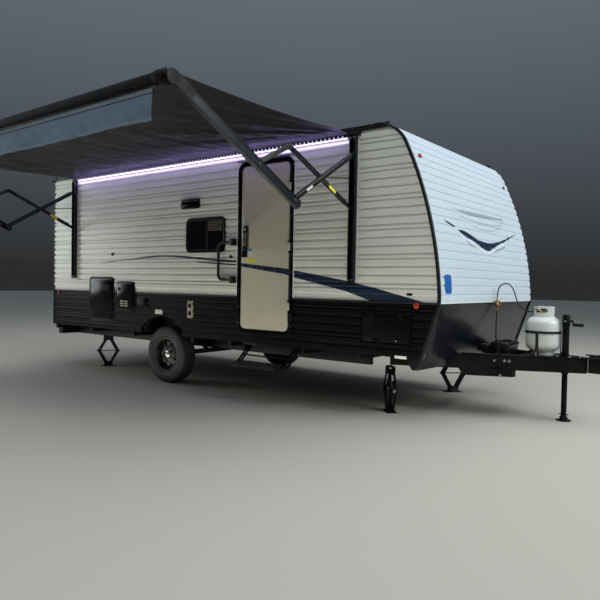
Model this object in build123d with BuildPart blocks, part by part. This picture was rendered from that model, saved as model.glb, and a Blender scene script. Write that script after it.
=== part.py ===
from build123d import *
import os
from math import sin, cos, tan, radians, atan2, degrees, hypot

os.makedirs("parts", exist_ok=True)

# Travel caravan, single axle, with its side awning out.  Millimetres.
# +X is forward (towards the coupler), +Y is the left side, +Z is up.
# Origin: on the ground, on the centre line, at the foot of the tongue jack.

# ---------------------------------------------------------------- driving dimensions
half_w = 1215.0            # half of the body's width over the side walls
wall_t = 40.0              # wall, front, rear and roof thickness
body_front = -720.0        # datum for places along the side walls
nose_x = -707.0            # foremost point of the body, at the two-tone line
body_len = 5955.0
body_rear = body_front - body_len
z_skirt = 595.0            # underside of the body
z_band = 1082.0            # height of the line between light siding and dark skirt
z_eave = 2680.0            # top of the side walls
z_siding = 2630.0          # top of the siding, at the foot of the gutter
front_arc = (-4208.0, 960.0, 3503.0)   # sloping front: centre in X and Z, radius
front_arc_end = 2490.0     # height where the tighter roof corner starts
roof_x = -1360.0           # where the roof corner ends and the flat roof starts
floor_t = 60.0
in_w = half_w - wall_t     # half of the clear width between the side walls

rail_y = 800.0             # chassis rail centre line
rail_z0, rail_z1, rail_w = 445.0, z_skirt, 50.0
beam_z0, beam_z1, beam_w = 460.0, 595.0, 52.0
apex_x = 180.0             # where the two tongue beams meet
tongue_half_angle = 25.0

wheel_x = body_front - 3573.0
tyre_r, tyre_w, tyre_y = 345.0, 205.0, 1060.0
rim_r = 190.0
arch_half, arch_top = 372.0, 815.0

gas_x = body_front + 517.0  # gas cylinder axis
gas_r = 155.0
gas_z0 = beam_z1 + 8.0

# entry door: outside of its frame, and the frame's band
door_x0, door_x1 = body_front - 2323.0, body_front - 1561.0
door_z0, door_z1 = 690.0, 2511.0
door_band = 45.0
door_hinge = (door_x1 - 37.0, -(half_w + 27.0))

# baggage doors, both sides: outside of their frames
bag_x0, bag_x1, bag_z0, bag_z1 = body_front - 744.0, body_front - 230.0, 698.0, 980.0
bag_hinge = (half_w + 21.0, bag_z1 - 6.0)     # y (outboard) and z

# awning: two wall rails, and the linkage in the plane of Y and Z
awn_x = {"front": body_front - 852.0, "rear": body_front - 5401.0}
awn_side = {"front": 1, "rear": -1}
awn_a = 30.887             # upper link below level, degrees
awn_b = 23.741             # lower link above level
awn_g = 26.939             # main arm above level
awn_h = 27.900             # short link below level
pt_A = (-1264.8, 2434.9)
len_AP, len_PB, len_AE, len_PE, len_EM, len_ER, len_FM = 561.9, 524.3, 1058.4, 469.8, 482.2, 1409.6, 482.0


def down(p, ang, d):
    return (p[0] - d * cos(radians(ang)), p[1] - d * sin(radians(ang)))


def up(p, ang, d):
    return (p[0] - d * cos(radians(ang)), p[1] + d * sin(radians(ang)))


pt_P = down(pt_A, awn_a, len_AP)      # scissor pin of the two links
pt_E = down(pt_A, awn_a, len_AE)      # lower elbow: upper link to main arm
pt_B = up(pt_P, awn_b, -len_PB)       # lower link's slider in the wall rail
pt_F = up(pt_P, awn_b, len_PE)        # upper elbow: lower link to short link
pt_M = up(pt_E, awn_g, len_EM)        # short link's eye on the main arm
pt_R = up(pt_E, awn_g, len_ER)        # roller axis
roller_r = 45.0

# folding step
step_x0, step_x1 = door_x0 + 130.0, door_x0 + 730.0
step_pin1, step_pin2 = (-1172.0, 545.0), (-1102.0, 545.0)   # bracket pins
step_reach, step_drop = -172.0, -158.0                      # arm vector at rest

# tongue jack
jack_tube_r, jack_leg_r, jack_top, jack_low = 31.0, 25.0, 985.0, 440.0

pin_r, pin_gap = 6.0, 0.3


# ---------------------------------------------------------------- helpers
def slab(plane, cx, cy, w, h, r, amount, mode=Mode.ADD):
    """rounded rectangle on a plane, extruded"""
    with BuildSketch(plane) as sk:
        with Locations((cx, cy)):
            if r > 0:
                RectangleRounded(w, h, r)
            else:
                Rectangle(w, h)
    extrude(sk.sketch, amount=amount, mode=mode)


def block(x0, x1, y0, y1, z0, z1, mode=Mode.ADD):
    """box by its lowest and highest corners"""
    with BuildSketch(Plane.XY.offset(z0)) as sk:
        with Locations(((x0 + x1) / 2, (y0 + y1) / 2)):
            Rectangle(x1 - x0, y1 - y0)
    extrude(sk.sketch, amount=z1 - z0, mode=mode)


def bar(plane, p0, p1, width, thick, mode=Mode.ADD):
    """flat bar with round ends between two centres on a plane"""
    with BuildSketch(plane) as sk:
        SlotCenterPoint(((p0[0] + p1[0]) / 2, (p0[1] + p1[1]) / 2), p1, width)
    extrude(sk.sketch, amount=thick, mode=mode)


def disc(plane, c, r, thick, mode=Mode.ADD):
    """round on a plane, extruded"""
    with BuildSketch(plane) as sk:
        with Locations(c):
            Circle(r)
    extrude(sk.sketch, amount=thick, mode=mode)


def spans(x, s, o0, o1):
    """low plane and thickness of a layer from offset o0 to o1 on side s of x"""
    lo = min(x + s * o0, x + s * o1)
    return Plane.YZ.offset(lo), abs(o1 - o0)


def body_profile():
    """side outline of the body, in X and Z: nose, curved front, roof, rear"""
    r = body_rear
    cx, cz, rad = front_arc

    def on_front(z):
        return (cx + (rad ** 2 - (z - cz) ** 2) ** 0.5, z)

    with BuildLine() as outline:
        Polyline((roof_x, z_eave), (r + 60, z_eave))
        RadiusArc((r + 60, z_eave), (r, z_eave - 60), -60)
        Polyline((r, z_eave - 60), (r, z_skirt), (nose_x - 157, z_skirt), on_front(z_band))
        front = ThreePointArc(on_front(z_band), on_front(1800), on_front(front_arc_end))
        TangentArc(on_front(front_arc_end), (roof_x, z_eave), tangent=front % 1)
    make_face(outline.edges())


def shell(x0, x1, z0, z1):
    """length of the body's outer ring of wall thickness inside a window in X and Z"""
    with BuildSketch(Plane.XZ) as sk:
        body_profile()
        offset(amount=-wall_t, kind=Kind.INTERSECTION, mode=Mode.SUBTRACT)
        with Locations(((x0 + x1) / 2, (z0 + z1) / 2)):
            Rectangle(x1 - x0, z1 - z0, mode=Mode.INTERSECT)
    extrude(sk.sketch, amount=in_w, both=True)


made = []


def save(part, label):
    part.label = label
    export_step(part, "parts/%s.step" % label)
    made.append(label)
    print(label, len(part.solids()), "solids", round(part.volume / 1e6, 2), "l")


# ---------------------------------------------------------------- windows and wall openings
# columns: wall, centre along the wall, centre height, width, height, corner radius (outside of the frame)
windows = (
    ("right", body_front - 2824.5, 1761.0, 629.0, 390.0, 70.0),
    ("left", body_front - 1750.0, 1730.0, 1060.0, 560.0, 70.0),
    ("left", body_front - 4950.0, 1800.0, 640.0, 400.0, 70.0),
    ("rear", 0.0, 1860.0, 760.0, 420.0, 70.0),
)
win_band = 26.0


def wheel_opening(plane):
    """wheel arch cut through a side wall"""
    with BuildSketch(plane) as sk:
        with BuildLine():
            Polyline((wheel_x - arch_half, z_skirt - 50), (wheel_x + arch_half, z_skirt - 50),
                     (wheel_x + arch_half, arch_top - 150))
            ThreePointArc((wheel_x + arch_half, arch_top - 150), (wheel_x, arch_top), (wheel_x - arch_half, arch_top - 150))
            Line((wheel_x - arch_half, arch_top - 150), (wheel_x - arch_half, z_skirt - 50))
        make_face()
    extrude(sk.sketch, amount=-wall_t - 2, mode=Mode.SUBTRACT)


with BuildPart() as right_wall:
    with BuildSketch(Plane.XZ.offset(in_w)):
        body_profile()
    extrude(amount=wall_t)
    out = Plane.XZ.offset(half_w + 1)
    for wall, cx, cz, w, h, r in windows:
        if wall == "right":
            slab(out, cx, cz, w - 40, h - 40, r - 20, -wall_t - 2, Mode.SUBTRACT)
    slab(out, (door_x0 + door_x1) / 2, (door_z0 + door_z1) / 2, door_x1 - door_x0 - 40, door_z1 - door_z0 - 30, 60, -wall_t - 2, Mode.SUBTRACT)
    slab(out, (bag_x0 + bag_x1) / 2, (bag_z0 + bag_z1) / 2, bag_x1 - bag_x0 - 28, bag_z1 - bag_z0 - 28, 12, -wall_t - 2, Mode.SUBTRACT)
    wheel_opening(out)
save(right_wall.part, "right_wall")

with BuildPart() as left_wall:
    with BuildSketch(Plane.XZ.offset(-half_w)):
        body_profile()
    extrude(amount=wall_t)
    inn = Plane.XZ.offset(-in_w + 1)
    for wall, cx, cz, w, h, r in windows:
        if wall == "left":
            slab(inn, cx, cz, w - 40, h - 40, r - 20, -wall_t - 2, Mode.SUBTRACT)
    slab(inn, (bag_x0 + bag_x1) / 2, (bag_z0 + bag_z1) / 2, bag_x1 - bag_x0 - 28, bag_z1 - bag_z0 - 28, 12, -wall_t - 2, Mode.SUBTRACT)
    wheel_opening(inn)
save(left_wall.part, "left_wall")

with BuildPart() as front_wall:
    shell(roof_x, nose_x + 50, z_band, z_eave + 50)
save(front_wall.part, "front_wall")

with BuildPart() as nose_cap:
    shell(nose_x - 500, nose_x + 50, z_skirt + floor_t, z_band)
save(nose_cap.part, "nose_cap")

with BuildPart() as rear_wall:
    shell(body_rear - 50, body_rear + 500, z_skirt + floor_t, z_eave - wall_t)
    for wall, cx, cz, w, h, r in windows:
        if wall == "rear":
            slab(Plane.YZ.offset(body_rear - 1), cx, cz, w - 40, h - 40, r - 20, wall_t + 2, Mode.SUBTRACT)
save(rear_wall.part, "rear_wall")

with BuildPart() as roof:
    shell(body_rear - 50, roof_x, z_eave - wall_t, z_eave + 50)
save(roof.part, "roof")

with BuildPart() as floor_deck:
    with BuildSketch(Plane.XZ):
        body_profile()
        with Locations(((body_front + body_rear) / 2, z_skirt + floor_t / 2)):
            Rectangle(body_len + 400, floor_t, mode=Mode.INTERSECT)
    extrude(amount=in_w, both=True)
    for s in (1, -1):
        block(wheel_x - arch_half - 12, wheel_x + arch_half + 12, min(s * 870, s * (in_w + 5)), max(s * 870, s * (in_w + 5)),
              z_skirt - 5, z_skirt + floor_t + 5, Mode.SUBTRACT)
save(floor_deck.part, "floor_deck")

# wheel boxes: open below and outboard
with BuildPart() as wheel_arches:
    for s in (1, -1):
        y0, y1 = 870.0, in_w
        block(wheel_x - arch_half - 12, wheel_x + arch_half + 12, min(s * y0, s * y1), max(s * y0, s * y1), z_skirt, arch_top + 25)
        y0, y1 = 882.0, in_w + 10
        block(wheel_x - arch_half, wheel_x + arch_half, min(s * y0, s * y1), max(s * y0, s * y1), z_skirt - 10, arch_top + 13, Mode.SUBTRACT)
save(wheel_arches.part, "wheel_arches")

# ---------------------------------------------------------------- frames and glass
with BuildPart() as window_frames:
    for wall, cx, cz, w, h, r in windows:
        if wall == "right":
            pl, amt = Plane.XZ.offset(half_w), 14.0
        elif wall == "left":
            pl, amt = Plane.XZ.offset(-half_w), -14.0
        else:
            pl, amt = Plane.YZ.offset(body_rear), -14.0
        with BuildSketch(pl):
            with Locations((cx, cz)):
                RectangleRounded(w, h, r)
                RectangleRounded(w - 2 * win_band, h - 2 * win_band, r - win_band, mode=Mode.SUBTRACT)
        extrude(amount=amt)
    # rings around the two baggage doors
    for pl, amt in ((Plane.XZ.offset(half_w), 10.0), (Plane.XZ.offset(-half_w), -10.0)):
        with BuildSketch(pl):
            with Locations(((bag_x0 + bag_x1) / 2, (bag_z0 + bag_z1) / 2)):
                RectangleRounded(bag_x1 - bag_x0, bag_z1 - bag_z0, 14)
                RectangleRounded(bag_x1 - bag_x0 - 28, bag_z1 - bag_z0 - 28, 10, mode=Mode.SUBTRACT)
        extrude(amount=amt)
    # hinge pins of the baggage doors, each between two ears
    for s in (-1, 1):
        for cx in (bag_x0 + 110, bag_x1 - 110):
            for ex in (cx - 38, cx + 26):
                y0, y1 = sorted((s * half_w, s * (bag_hinge[0] + 7)))
                block(ex, ex + 12, y0, y1, bag_hinge[1] - 1, bag_hinge[1] + 6)
            disc(Plane.YZ.offset(cx - 38), (s * bag_hinge[0], bag_hinge[1]), 4.0, 76)
save(window_frames.part, "window_frames")

with BuildPart() as window_glass:
    for wall, cx, cz, w, h, r in windows:
        if wall == "right":
            pl, amt = Plane.XZ.offset(half_w + 3), 5.0
        elif wall == "left":
            pl, amt = Plane.XZ.offset(-half_w - 3), -5.0
        else:
            pl, amt = Plane.YZ.offset(body_rear - 3), -5.0
        slab(pl, cx, cz, w - 2 * win_band, h - 2 * win_band, r - win_band, amt)
save(window_glass.part, "window_glass")

with BuildPart() as door_frame:
    dcx, dcz = (door_x0 + door_x1) / 2, (door_z0 + door_z1) / 2
    dw, dh = door_x1 - door_x0, door_z1 - door_z0
    with BuildSketch(Plane.XZ.offset(half_w)):
        with Locations((dcx, dcz)):
            RectangleRounded(dw, dh, 105)
            RectangleRounded(dw - 2 * door_band, dh - 2 * door_band, 62, mode=Mode.SUBTRACT)
    extrude(amount=14)
    with BuildSketch(Plane.XZ.offset(in_w)):
        with Locations((dcx, dcz)):
            RectangleRounded(dw - 40, dh - 30, 60)
            RectangleRounded(dw - 2 * door_band, dh - 2 * door_band, 58, mode=Mode.SUBTRACT)
    extrude(amount=wall_t)
    for hz in (1000.0, 1600.0, 2200.0):
        for ez in (hz - 62, hz + 45):
            block(door_hinge[0] - 8, door_hinge[0] + 30, -half_w - 35, -half_w - 8, ez, ez + 17)
        disc(Plane.XY.offset(hz - 62), door_hinge, 4.0, 124)
save(door_frame.part, "door_frame")

# ---------------------------------------------------------------- entry door and baggage doors
with BuildPart() as entry_door:
    slab(Plane.XZ.offset(half_w - 21), dcx, dcz, dw - 2 * door_band - 12, dh - 2 * door_band - 12, 54, 30)
    for hz in (1000.0, 1600.0, 2200.0):
        block(door_x1 - door_band - 46, door_x1 - door_band - 10, -half_w - 25, -half_w - 8.5, hz - 39, hz + 39)
        block(door_x1 - door_band - 12, door_hinge[0], -half_w - 25, -half_w - 18, hz - 39, hz + 39)
        disc(Plane.XY.offset(hz - 39), door_hinge, 9.0, 78)
        disc(Plane.XY.offset(hz - 40), door_hinge, 4.0 + pin_gap, 80, Mode.SUBTRACT)
    # latch plate and pull at the free edge
    slab(Plane.XZ.offset(half_w + 9), door_x0 + 120, 1705, 70, 260, 20, 14)
    slab(Plane.XZ.offset(half_w + 23), door_x0 + 128, 1690, 30, 130, 12, 22)
save(entry_door.part, "entry_door")

for s, name in ((-1, "storage_door_right"), (1, "storage_door_left")):
    with BuildPart() as storage_door:
        pl = Plane.XZ.offset(-s * (half_w + 15)) if s > 0 else Plane.XZ.offset(half_w - 20)
        bcx, bcz = (bag_x0 + bag_x1) / 2, (bag_z0 + bag_z1) / 2
        bw, bh = bag_x1 - bag_x0 - 40, bag_z1 - bag_z0 - 40
        slab(pl, bcx, bcz, bw, bh, 10, 35)
        for cx in (bag_x0 + 110, bag_x1 - 110):
            y0, y1 = sorted((s * (half_w + 12), s * bag_hinge[0]))
            block(cx - 20, cx + 20, y0, y1, bag_z1 - 60, bag_hinge[1] - 5)
            disc(Plane.YZ.offset(cx - 20), (s * bag_hinge[0], bag_hinge[1]), 8.0, 40)
            disc(Plane.YZ.offset(cx - 21), (s * bag_hinge[0], bag_hinge[1]), 4.0 + pin_gap, 42, Mode.SUBTRACT)
        # clear of the ring above the door
        y0, y1 = sorted((s * (half_w - 30), s * (half_w + 12)))
        block(bag_x0, bag_x1, y0, y1, bag_z1 - 20, bag_z1 + 20, Mode.SUBTRACT)
        # latch
        y0, y1 = sorted((s * (half_w + 15), s * (half_w + 24)))
        block(bcx - 125, bcx - 80, y0, y1, bag_z0 + 26, bag_z0 + 52)
        block(bcx + 85, bcx + 115, y0, y1, bag_z0 + 28, bag_z0 + 56)
    save(storage_door.part, name)

# ---------------------------------------------------------------- chassis
with BuildPart() as chassis_rails:
    for s in (1, -1):
        block(body_rear - 20, body_front - 880, s * rail_y - rail_w / 2, s * rail_y + rail_w / 2, rail_z0, rail_z1)
save(chassis_rails.part, "chassis_rails")

# crossmembers between the rails and outriggers outside them, by position along X
cross_x = (body_rear + 60, -5750.0, -4850.0, -3750.0, -2700.0)
outrigger_x = (body_rear + 60, -5750.0, -4850.0, -3750.0, -3150.0, -2150.0, -1500.0)
with BuildPart() as chassis_crossmembers:
    for x in cross_x:
        block(x - 25, x + 25, -rail_y + rail_w / 2, rail_y - rail_w / 2, 505, z_skirt)
    for x in outrigger_x:
        for s in (1, -1):
            y0, y1 = sorted((s * (rail_y + rail_w / 2), s * (half_w - 5)))
            block(x - 20, x + 20, y0, y1, 540, z_skirt)
    # rear bumper: square tube
    block(body_rear - 120, body_rear - 20, -1060, 1060, rail_z0, rail_z0 + 100)
    block(body_rear - 116, body_rear - 24, -1061, 1061, rail_z0 + 4, rail_z0 + 96, Mode.SUBTRACT)
save(chassis_crossmembers.part, "chassis_crossmembers")

back_x = body_front - 880.0
reg = (nose_x + 34.0, 56.0)       # regulator and hose line, in plan
with BuildPart() as tongue_frame:
    # beams: each runs from the apex out to its rail
    ta = radians(tongue_half_angle)
    for s in (1, -1):
        y_end = s * (rail_y - rail_w / 2 - beam_w / 2 - 1)
        x_end = apex_x - abs(y_end) / tan(ta)
        with BuildSketch(Plane.XY.offset(beam_z0)):
            n = (sin(ta) * beam_w / 2, cos(ta) * beam_w / 2)
            Polygon((apex_x + n[0], s * n[1]), (x_end + n[0], y_end + s * n[1]),
                    (x_end - n[0], y_end - s * n[1]), (apex_x - n[0], -s * n[1]), align=None)
        extrude(amount=beam_z1 - beam_z0)
    # gas tray, battery tray and cross plates, welded between the beams
    block(gas_x - 150, gas_x + 150, -200, 200, beam_z1, gas_z0)
    block(body_front + 44, body_front + 262, -390, 390, beam_z0, beam_z0 + 8)
    block(body_front + 20, body_front + 58, -425, 425, beam_z0, beam_z0 + 100)
    block(body_front - 500, body_front - 450, -640, 640, beam_z0 + 20, beam_z1)
    # box slung under the right beam, in line with it
    ub = [(x, -(apex_x - x) * tan(ta)) for x in (-385.0, -800.0)]
    with BuildSketch(Plane.XY.offset(395)):
        Polygon((ub[0][0] + n[0], ub[0][1] + n[1]), (ub[1][0] + n[0], ub[1][1] + n[1]),
                (ub[1][0] - n[0], ub[1][1] - n[1]), (ub[0][0] - n[0], ub[0][1] - n[1]), align=None)
    extrude(amount=beam_z0 - 395)
    # hose stub on the cross plate
    disc(Plane.XY.offset(beam_z0 + 80), reg, 9.0, 60)
    # jack plate over the apex, with the hole for the jack tube
    block(-80, 80, -110, 110, beam_z1, beam_z1 + 10)
    disc(Plane.XY.offset(beam_z1 - 1), (0, 0), jack_tube_r + 0.0, 14, Mode.SUBTRACT)
save(tongue_frame.part, "tongue_frame")

ball = (300.0, 495.0)          # ball centre: x and z
ball_r = 25.6
with BuildPart() as coupler:
    with BuildSketch(Plane.XY.offset(beam_z1)):
        Polygon((95, -75), (95, 75), (200, 34), (330, 34), (330, -34), (200, -34), align=None)
    extrude(amount=9)
    with BuildSketch(Plane.XY.offset(470)):
        with BuildLine():
            Polyline((ball[0], 45), (208, 45), (208, -45), (ball[0], -45))
            ThreePointArc((ball[0], -45), (ball[0] + 45, 0), (ball[0], 45))
        make_face()
    extrude(amount=beam_z1 - 470)
    disc(Plane.XY.offset(469), (ball[0], 0), ball_r, ball[1] - 469, Mode.SUBTRACT)
    with Locations((ball[0], 0, ball[1])):
        Sphere(ball_r, mode=Mode.SUBTRACT)
    # latch lever on top
    block(210, 300, -12, 12, beam_z1 + 9, beam_z1 + 40)
    block(180, 215, -12, 12, beam_z1 + 28, beam_z1 + 40)
save(coupler.part, "coupler")

# ---------------------------------------------------------------- tongue jack
with BuildPart() as jack_tube:
    disc(Plane.XY.offset(jack_low), (0, 0), jack_tube_r, jack_top - jack_low)
    disc(Plane.XY.offset(jack_low - 1), (0, 0), jack_leg_r + 0.6, jack_top - jack_low - 20, Mode.SUBTRACT)
    # crank: shaft, arm and grip, forward of the tube
    disc(Plane.YZ.offset(jack_tube_r - 3), (0, jack_top - 55), 10, 30)
    block(jack_tube_r + 27, jack_tube_r + 37, -10, 10, jack_top - 95, jack_top - 42)
    disc(Plane.YZ.offset(jack_tube_r + 30), (0, jack_top - 88), 14, 88)
save(jack_tube.part, "jack_tube")

with BuildPart() as jack_leg:
    disc(Plane.XY, (0, 0), jack_leg_r, 590)
    disc(Plane.XY, (0, 0), 66, 8)
    disc(Plane.XY.offset(8), (0, 0), 34, 14)
save(jack_leg.part, "jack_leg")

# ---------------------------------------------------------------- gas cylinder, strap, battery, regulator
with BuildPart() as gas_cylinder:
    z0 = gas_z0
    with BuildSketch(Plane.XZ):
        with BuildLine():
            Polyline((gas_x, z0 + 32), (gas_x + 80, z0 + 32))
            ThreePointArc((gas_x + 80, z0 + 32), (gas_x + 132, z0 + 54), (gas_x + gas_r, z0 + 108))
            Line((gas_x + gas_r, z0 + 108), (gas_x + gas_r, z0 + 285))
            ThreePointArc((gas_x + gas_r, z0 + 285), (gas_x + 125, z0 + 345), (gas_x + 55, z0 + 368))
            Polyline((gas_x + 55, z0 + 368), (gas_x, z0 + 368), (gas_x, z0 + 32))
        make_face()
    revolve(axis=Axis((gas_x, 0, 0), (0, 0, 1)))
    # foot ring and collar
    disc(Plane.XY.offset(z0), (gas_x, 0), 102, 46)
    disc(Plane.XY.offset(z0 - 1), (gas_x, 0), 98, 32, Mode.SUBTRACT)
    with BuildSketch(Plane.XY.offset(z0 + 340)):
        with Locations((gas_x, 0)):
            Circle(94)
            Circle(90, mode=Mode.SUBTRACT)
    extrude(amount=113)
    # valve in the middle, its outlet towards the caravan
    disc(Plane.XY.offset(z0 + 360), (gas_x, 0), 16, 62)
    disc(Plane.YZ.offset(gas_x - 62), (0, z0 + 400), 13, 62)
    disc(Plane.XY.offset(z0 + 422), (gas_x, 0), 24, 18)
    # collar openings: a wide one at the outlet, two hand holds at the sides
    block(gas_x - 110, gas_x - 64, -62, 62, z0 + 372, z0 + 470, Mode.SUBTRACT)
    for s in (1, -1):
        y0, y1 = sorted((s * 40, s * 110))
        block(gas_x - 58, gas_x + 58, y0, y1, z0 + 398, z0 + 436, Mode.SUBTRACT)
save(gas_cylinder.part, "gas_cylinder")

with BuildPart() as cylinder_strap:
    with BuildSketch(Plane.XY.offset(gas_z0 + 205)):
        with Locations((gas_x, 0)):
            Circle(gas_r + 5)
            Circle(gas_r + 1, mode=Mode.SUBTRACT)
    extrude(amount=22)
    for a in (-60.0, 60.0, 180.0):
        pl = Plane(origin=(gas_x, 0, gas_z0), x_dir=(-sin(radians(a)), cos(radians(a)), 0), z_dir=(cos(radians(a)), sin(radians(a)), 0))
        slab(pl.offset(gas_r + 3), 0, 110, 26, 220, 0, 5)
save(cylinder_strap.part, "cylinder_strap")

with BuildPart() as battery_box:
    bx0, bx1 = body_front + 62, body_front + 246
    block(bx0 + 8, bx1 - 8, -155, 155, beam_z0 + 8, 668)
    block(bx0, bx1, -165, 165, 668, 702)
    block(bx0 + 70, bx0 + 110, -169, 169, 702, 707)
save(battery_box.part, "battery_box")

with BuildPart() as gas_regulator:
    # bracket with its back cut to the front of the body
    block(nose_x - 30, reg[0], 44, 68, 1050, 1098)
    with BuildSketch(Plane.XZ.offset(-80)) as sk:
        body_profile()
    extrude(sk.sketch, amount=50, mode=Mode.SUBTRACT)
    disc(Plane.XZ.offset(-76), (reg[0] + 8, 1070), 30, 40)
    block(reg[0] - 14, reg[0] + 14, 42, 70, 1036, 1104)
    disc(Plane.XY.offset(1098), reg, 9.0, 26)
    disc(Plane.XY.offset(1016), reg, 9.0, 26)
save(gas_regulator.part, "gas_regulator")

# hoses: tubes on runs joined by arcs; each arc's radius comes from the shorter run beside it
hose_r = 6.0
pig = ((reg[0], reg[1], 1124.0), (reg[0], reg[1], 1205.0), (reg[0] + 44, 53, 1268.0), (reg[0] + 120, 45, 1272.0),
       (reg[0] + 170, 34, 1210.0), (reg[0] + 196, 24, 1130.0), (reg[0] + 232, 12, 1058.0), (reg[0] + 298, 2, 1008.0),
       (reg[0] + 362, 0, gas_z0 + 400), (gas_x - 62, 0.0, gas_z0 + 400))
supply = ((reg[0], reg[1], 1016.0), (reg[0], reg[1], 938.0), (reg[0] - 8, 60, 850.0), (reg[0] - 6, 58, 760.0),
          (reg[0], reg[1], 672.0), (reg[0], reg[1], beam_z0 + 140.0))


def arc_radii(pts):
    out = []
    for a, b, c in zip(pts, pts[1:], pts[2:]):
        u, v = Vector(*b) - Vector(*a), Vector(*c) - Vector(*b)
        turn = u.get_angle(v)
        out.append(0.45 * min(u.length, v.length) / tan(radians(turn / 2)))
    return out


for name, pts in (("gas_pigtail", pig), ("gas_supply_hose", supply)):
    radii = arc_radii(pts)
    with BuildPart() as hose:
        with BuildLine() as run:
            FilletPolyline(*pts, radius=radii)
        with BuildSketch(Plane(origin=pts[0], z_dir=Vector(*pts[1]) - Vector(*pts[0]))):
            Circle(hose_r)
        sweep()
    print(name, "radii", [round(r) for r in radii], "length", round(run.wires()[0].length, 1),
          "volume ratio", round(hose.part.volume / (3.14159265 * hose_r ** 2 * run.wires()[0].length), 4))
    save(hose.part, name)

# ---------------------------------------------------------------- axle, springs, wheels
with BuildPart() as axle:
    disc(Plane.XZ.offset(-980), (wheel_x, tyre_r), 30, 1960)
    for s in (1, -1):
        disc(Plane.XZ.offset(-s * 980 if s < 0 else -1045), (wheel_x, tyre_r), 18, 65)
        # brake backing plate
        disc(Plane.XZ.offset(965 if s < 0 else -975), (wheel_x, tyre_r), 125, 10)
        # leaf spring with its two hangers under the rail
        with BuildSketch(Plane.XZ.offset(-s * rail_y - 22)):
            with BuildLine():
                top = ThreePointArc((wheel_x - 330, 418), (wheel_x, 384), (wheel_x + 330, 418))
                Line((wheel_x + 330, 418), (wheel_x + 330, 404))
                ThreePointArc((wheel_x + 330, 404), (wheel_x, 352), (wheel_x - 330, 404))
                Line((wheel_x - 330, 404), (wheel_x - 330, 418))
            make_face()
        extrude(amount=44)
        for dx in (-330, 330):
            block(wheel_x + dx - 22, wheel_x + dx + 22, s * rail_y - 24, s * rail_y + 24, 396, rail_z0)
save(axle.part, "axle")

for s, sd in ((-1, "right"), (1, "left")):
    y_in, y_out = s * (tyre_y - tyre_w / 2), s * (tyre_y + tyre_w / 2)
    with BuildPart() as tyre:
        # section in Y and Z above the wheel's axis, turned about that axis
        yc = s * tyre_y
        with BuildSketch(Plane.YZ.offset(wheel_x)):
            with BuildLine():
                Polyline((yc - 72, tyre_r + rim_r + 1), (yc + 72, tyre_r + rim_r + 1))
                ThreePointArc((yc + 72, tyre_r + rim_r + 1), (yc + 102, tyre_r + 262), (yc + 84, tyre_r + 335))
                ThreePointArc((yc + 84, tyre_r + 335), (yc, tyre_r + tyre_r), (yc - 84, tyre_r + 335))
                ThreePointArc((yc - 84, tyre_r + 335), (yc - 102, tyre_r + 262), (yc - 72, tyre_r + rim_r + 1))
            make_face()
        revolve(axis=Axis((wheel_x, 0, tyre_r), (0, 1, 0)))
    save(tyre.part, "tyre_" + sd)
    with BuildPart() as rim:
        lo = min(y_in, y_out)
        # barrel and disc; Plane.XZ faces -Y, so planes are placed by their highest Y
        disc(Plane.XZ.offset(-(yc + 76)), (wheel_x, tyre_r), rim_r, 152)
        disc(Plane.XZ.offset(-(yc + 80)), (wheel_x, tyre_r), rim_r - 14, 160, Mode.SUBTRACT)
        d0 = yc + (18 if s > 0 else -32)
        disc(Plane.XZ.offset(-(d0 + 14)), (wheel_x, tyre_r), rim_r - 10, 14)
        with BuildSketch(Plane.XZ.offset(-(d0 + 20))):
            with Locations((wheel_x, tyre_r)):
                with PolarLocations(132, 8):
                    Circle(26)
        extrude(amount=30, mode=Mode.SUBTRACT)
        # hub, bored for the axle's stub
        h0, h1 = sorted((s * 984, s * 1100))
        disc(Plane.XZ.offset(-h1), (wheel_x, tyre_r), 44, h1 - h0)
        b0, b1 = sorted((s * 980, s * 1052))
        disc(Plane.XZ.offset(-b1), (wheel_x, tyre_r), 18 + pin_gap, b1 - b0, Mode.SUBTRACT)
    save(rim.part, "rim_" + sd)

# ---------------------------------------------------------------- stabiliser jacks
# columns: x of the foot, y of the foot, direction in plan of the scissor (x, y)
d45 = 0.70710678
stab_table = (
    (body_front - 702, -746, -d45, d45),
    (body_front - 702, 746, -d45, -d45),
    (body_rear + 640, -746, d45, d45),
    (body_rear + 640, 746, d45, -d45),
)
st_top, st_bot, st_p, st_L = 395.0, 46.0, 30.0, 200.0
st_rise = (st_top - st_bot) / 2
st_e = st_p + (st_L ** 2 - st_rise ** 2) ** 0.5
with BuildPart() as stabiliser_jacks:
    for fx, fy, ux, uy in stab_table:
        pl = Plane(origin=(fx, fy, 0), x_dir=(ux, uy, 0), z_dir=(uy, -ux, 0))
        zm = (st_top + st_bot) / 2
        for q in (1, -1):
            bar(pl.offset(2), (q * st_p, st_top), (q * st_e, zm), 34, 22)
            bar(pl.offset(-24), (q * st_e, zm), (q * st_p, st_bot), 34, 22)
            disc(pl.offset(-28), (q * st_e, zm), 9, 56)
            disc(pl.offset(-28), (q * st_p, st_top), 8, 56)
            disc(pl.offset(-28), (q * st_p, st_bot), 8, 56)
        for t0 in (-32, 28):
            slab(pl.offset(t0), 0, (st_top - 22 + rail_z0) / 2, 130, rail_z0 - st_top + 22, 0, 4)
            slab(pl.offset(t0), 0, 33, 110, 58, 0, 4)
        slab(pl.offset(-32), 0, rail_z0 - 4, 130, 8, 0, 64)
        slab(pl.offset(-50), 0, 3, 205, 6, 0, 100)
save(stabiliser_jacks.part, "stabiliser_jacks")

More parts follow.
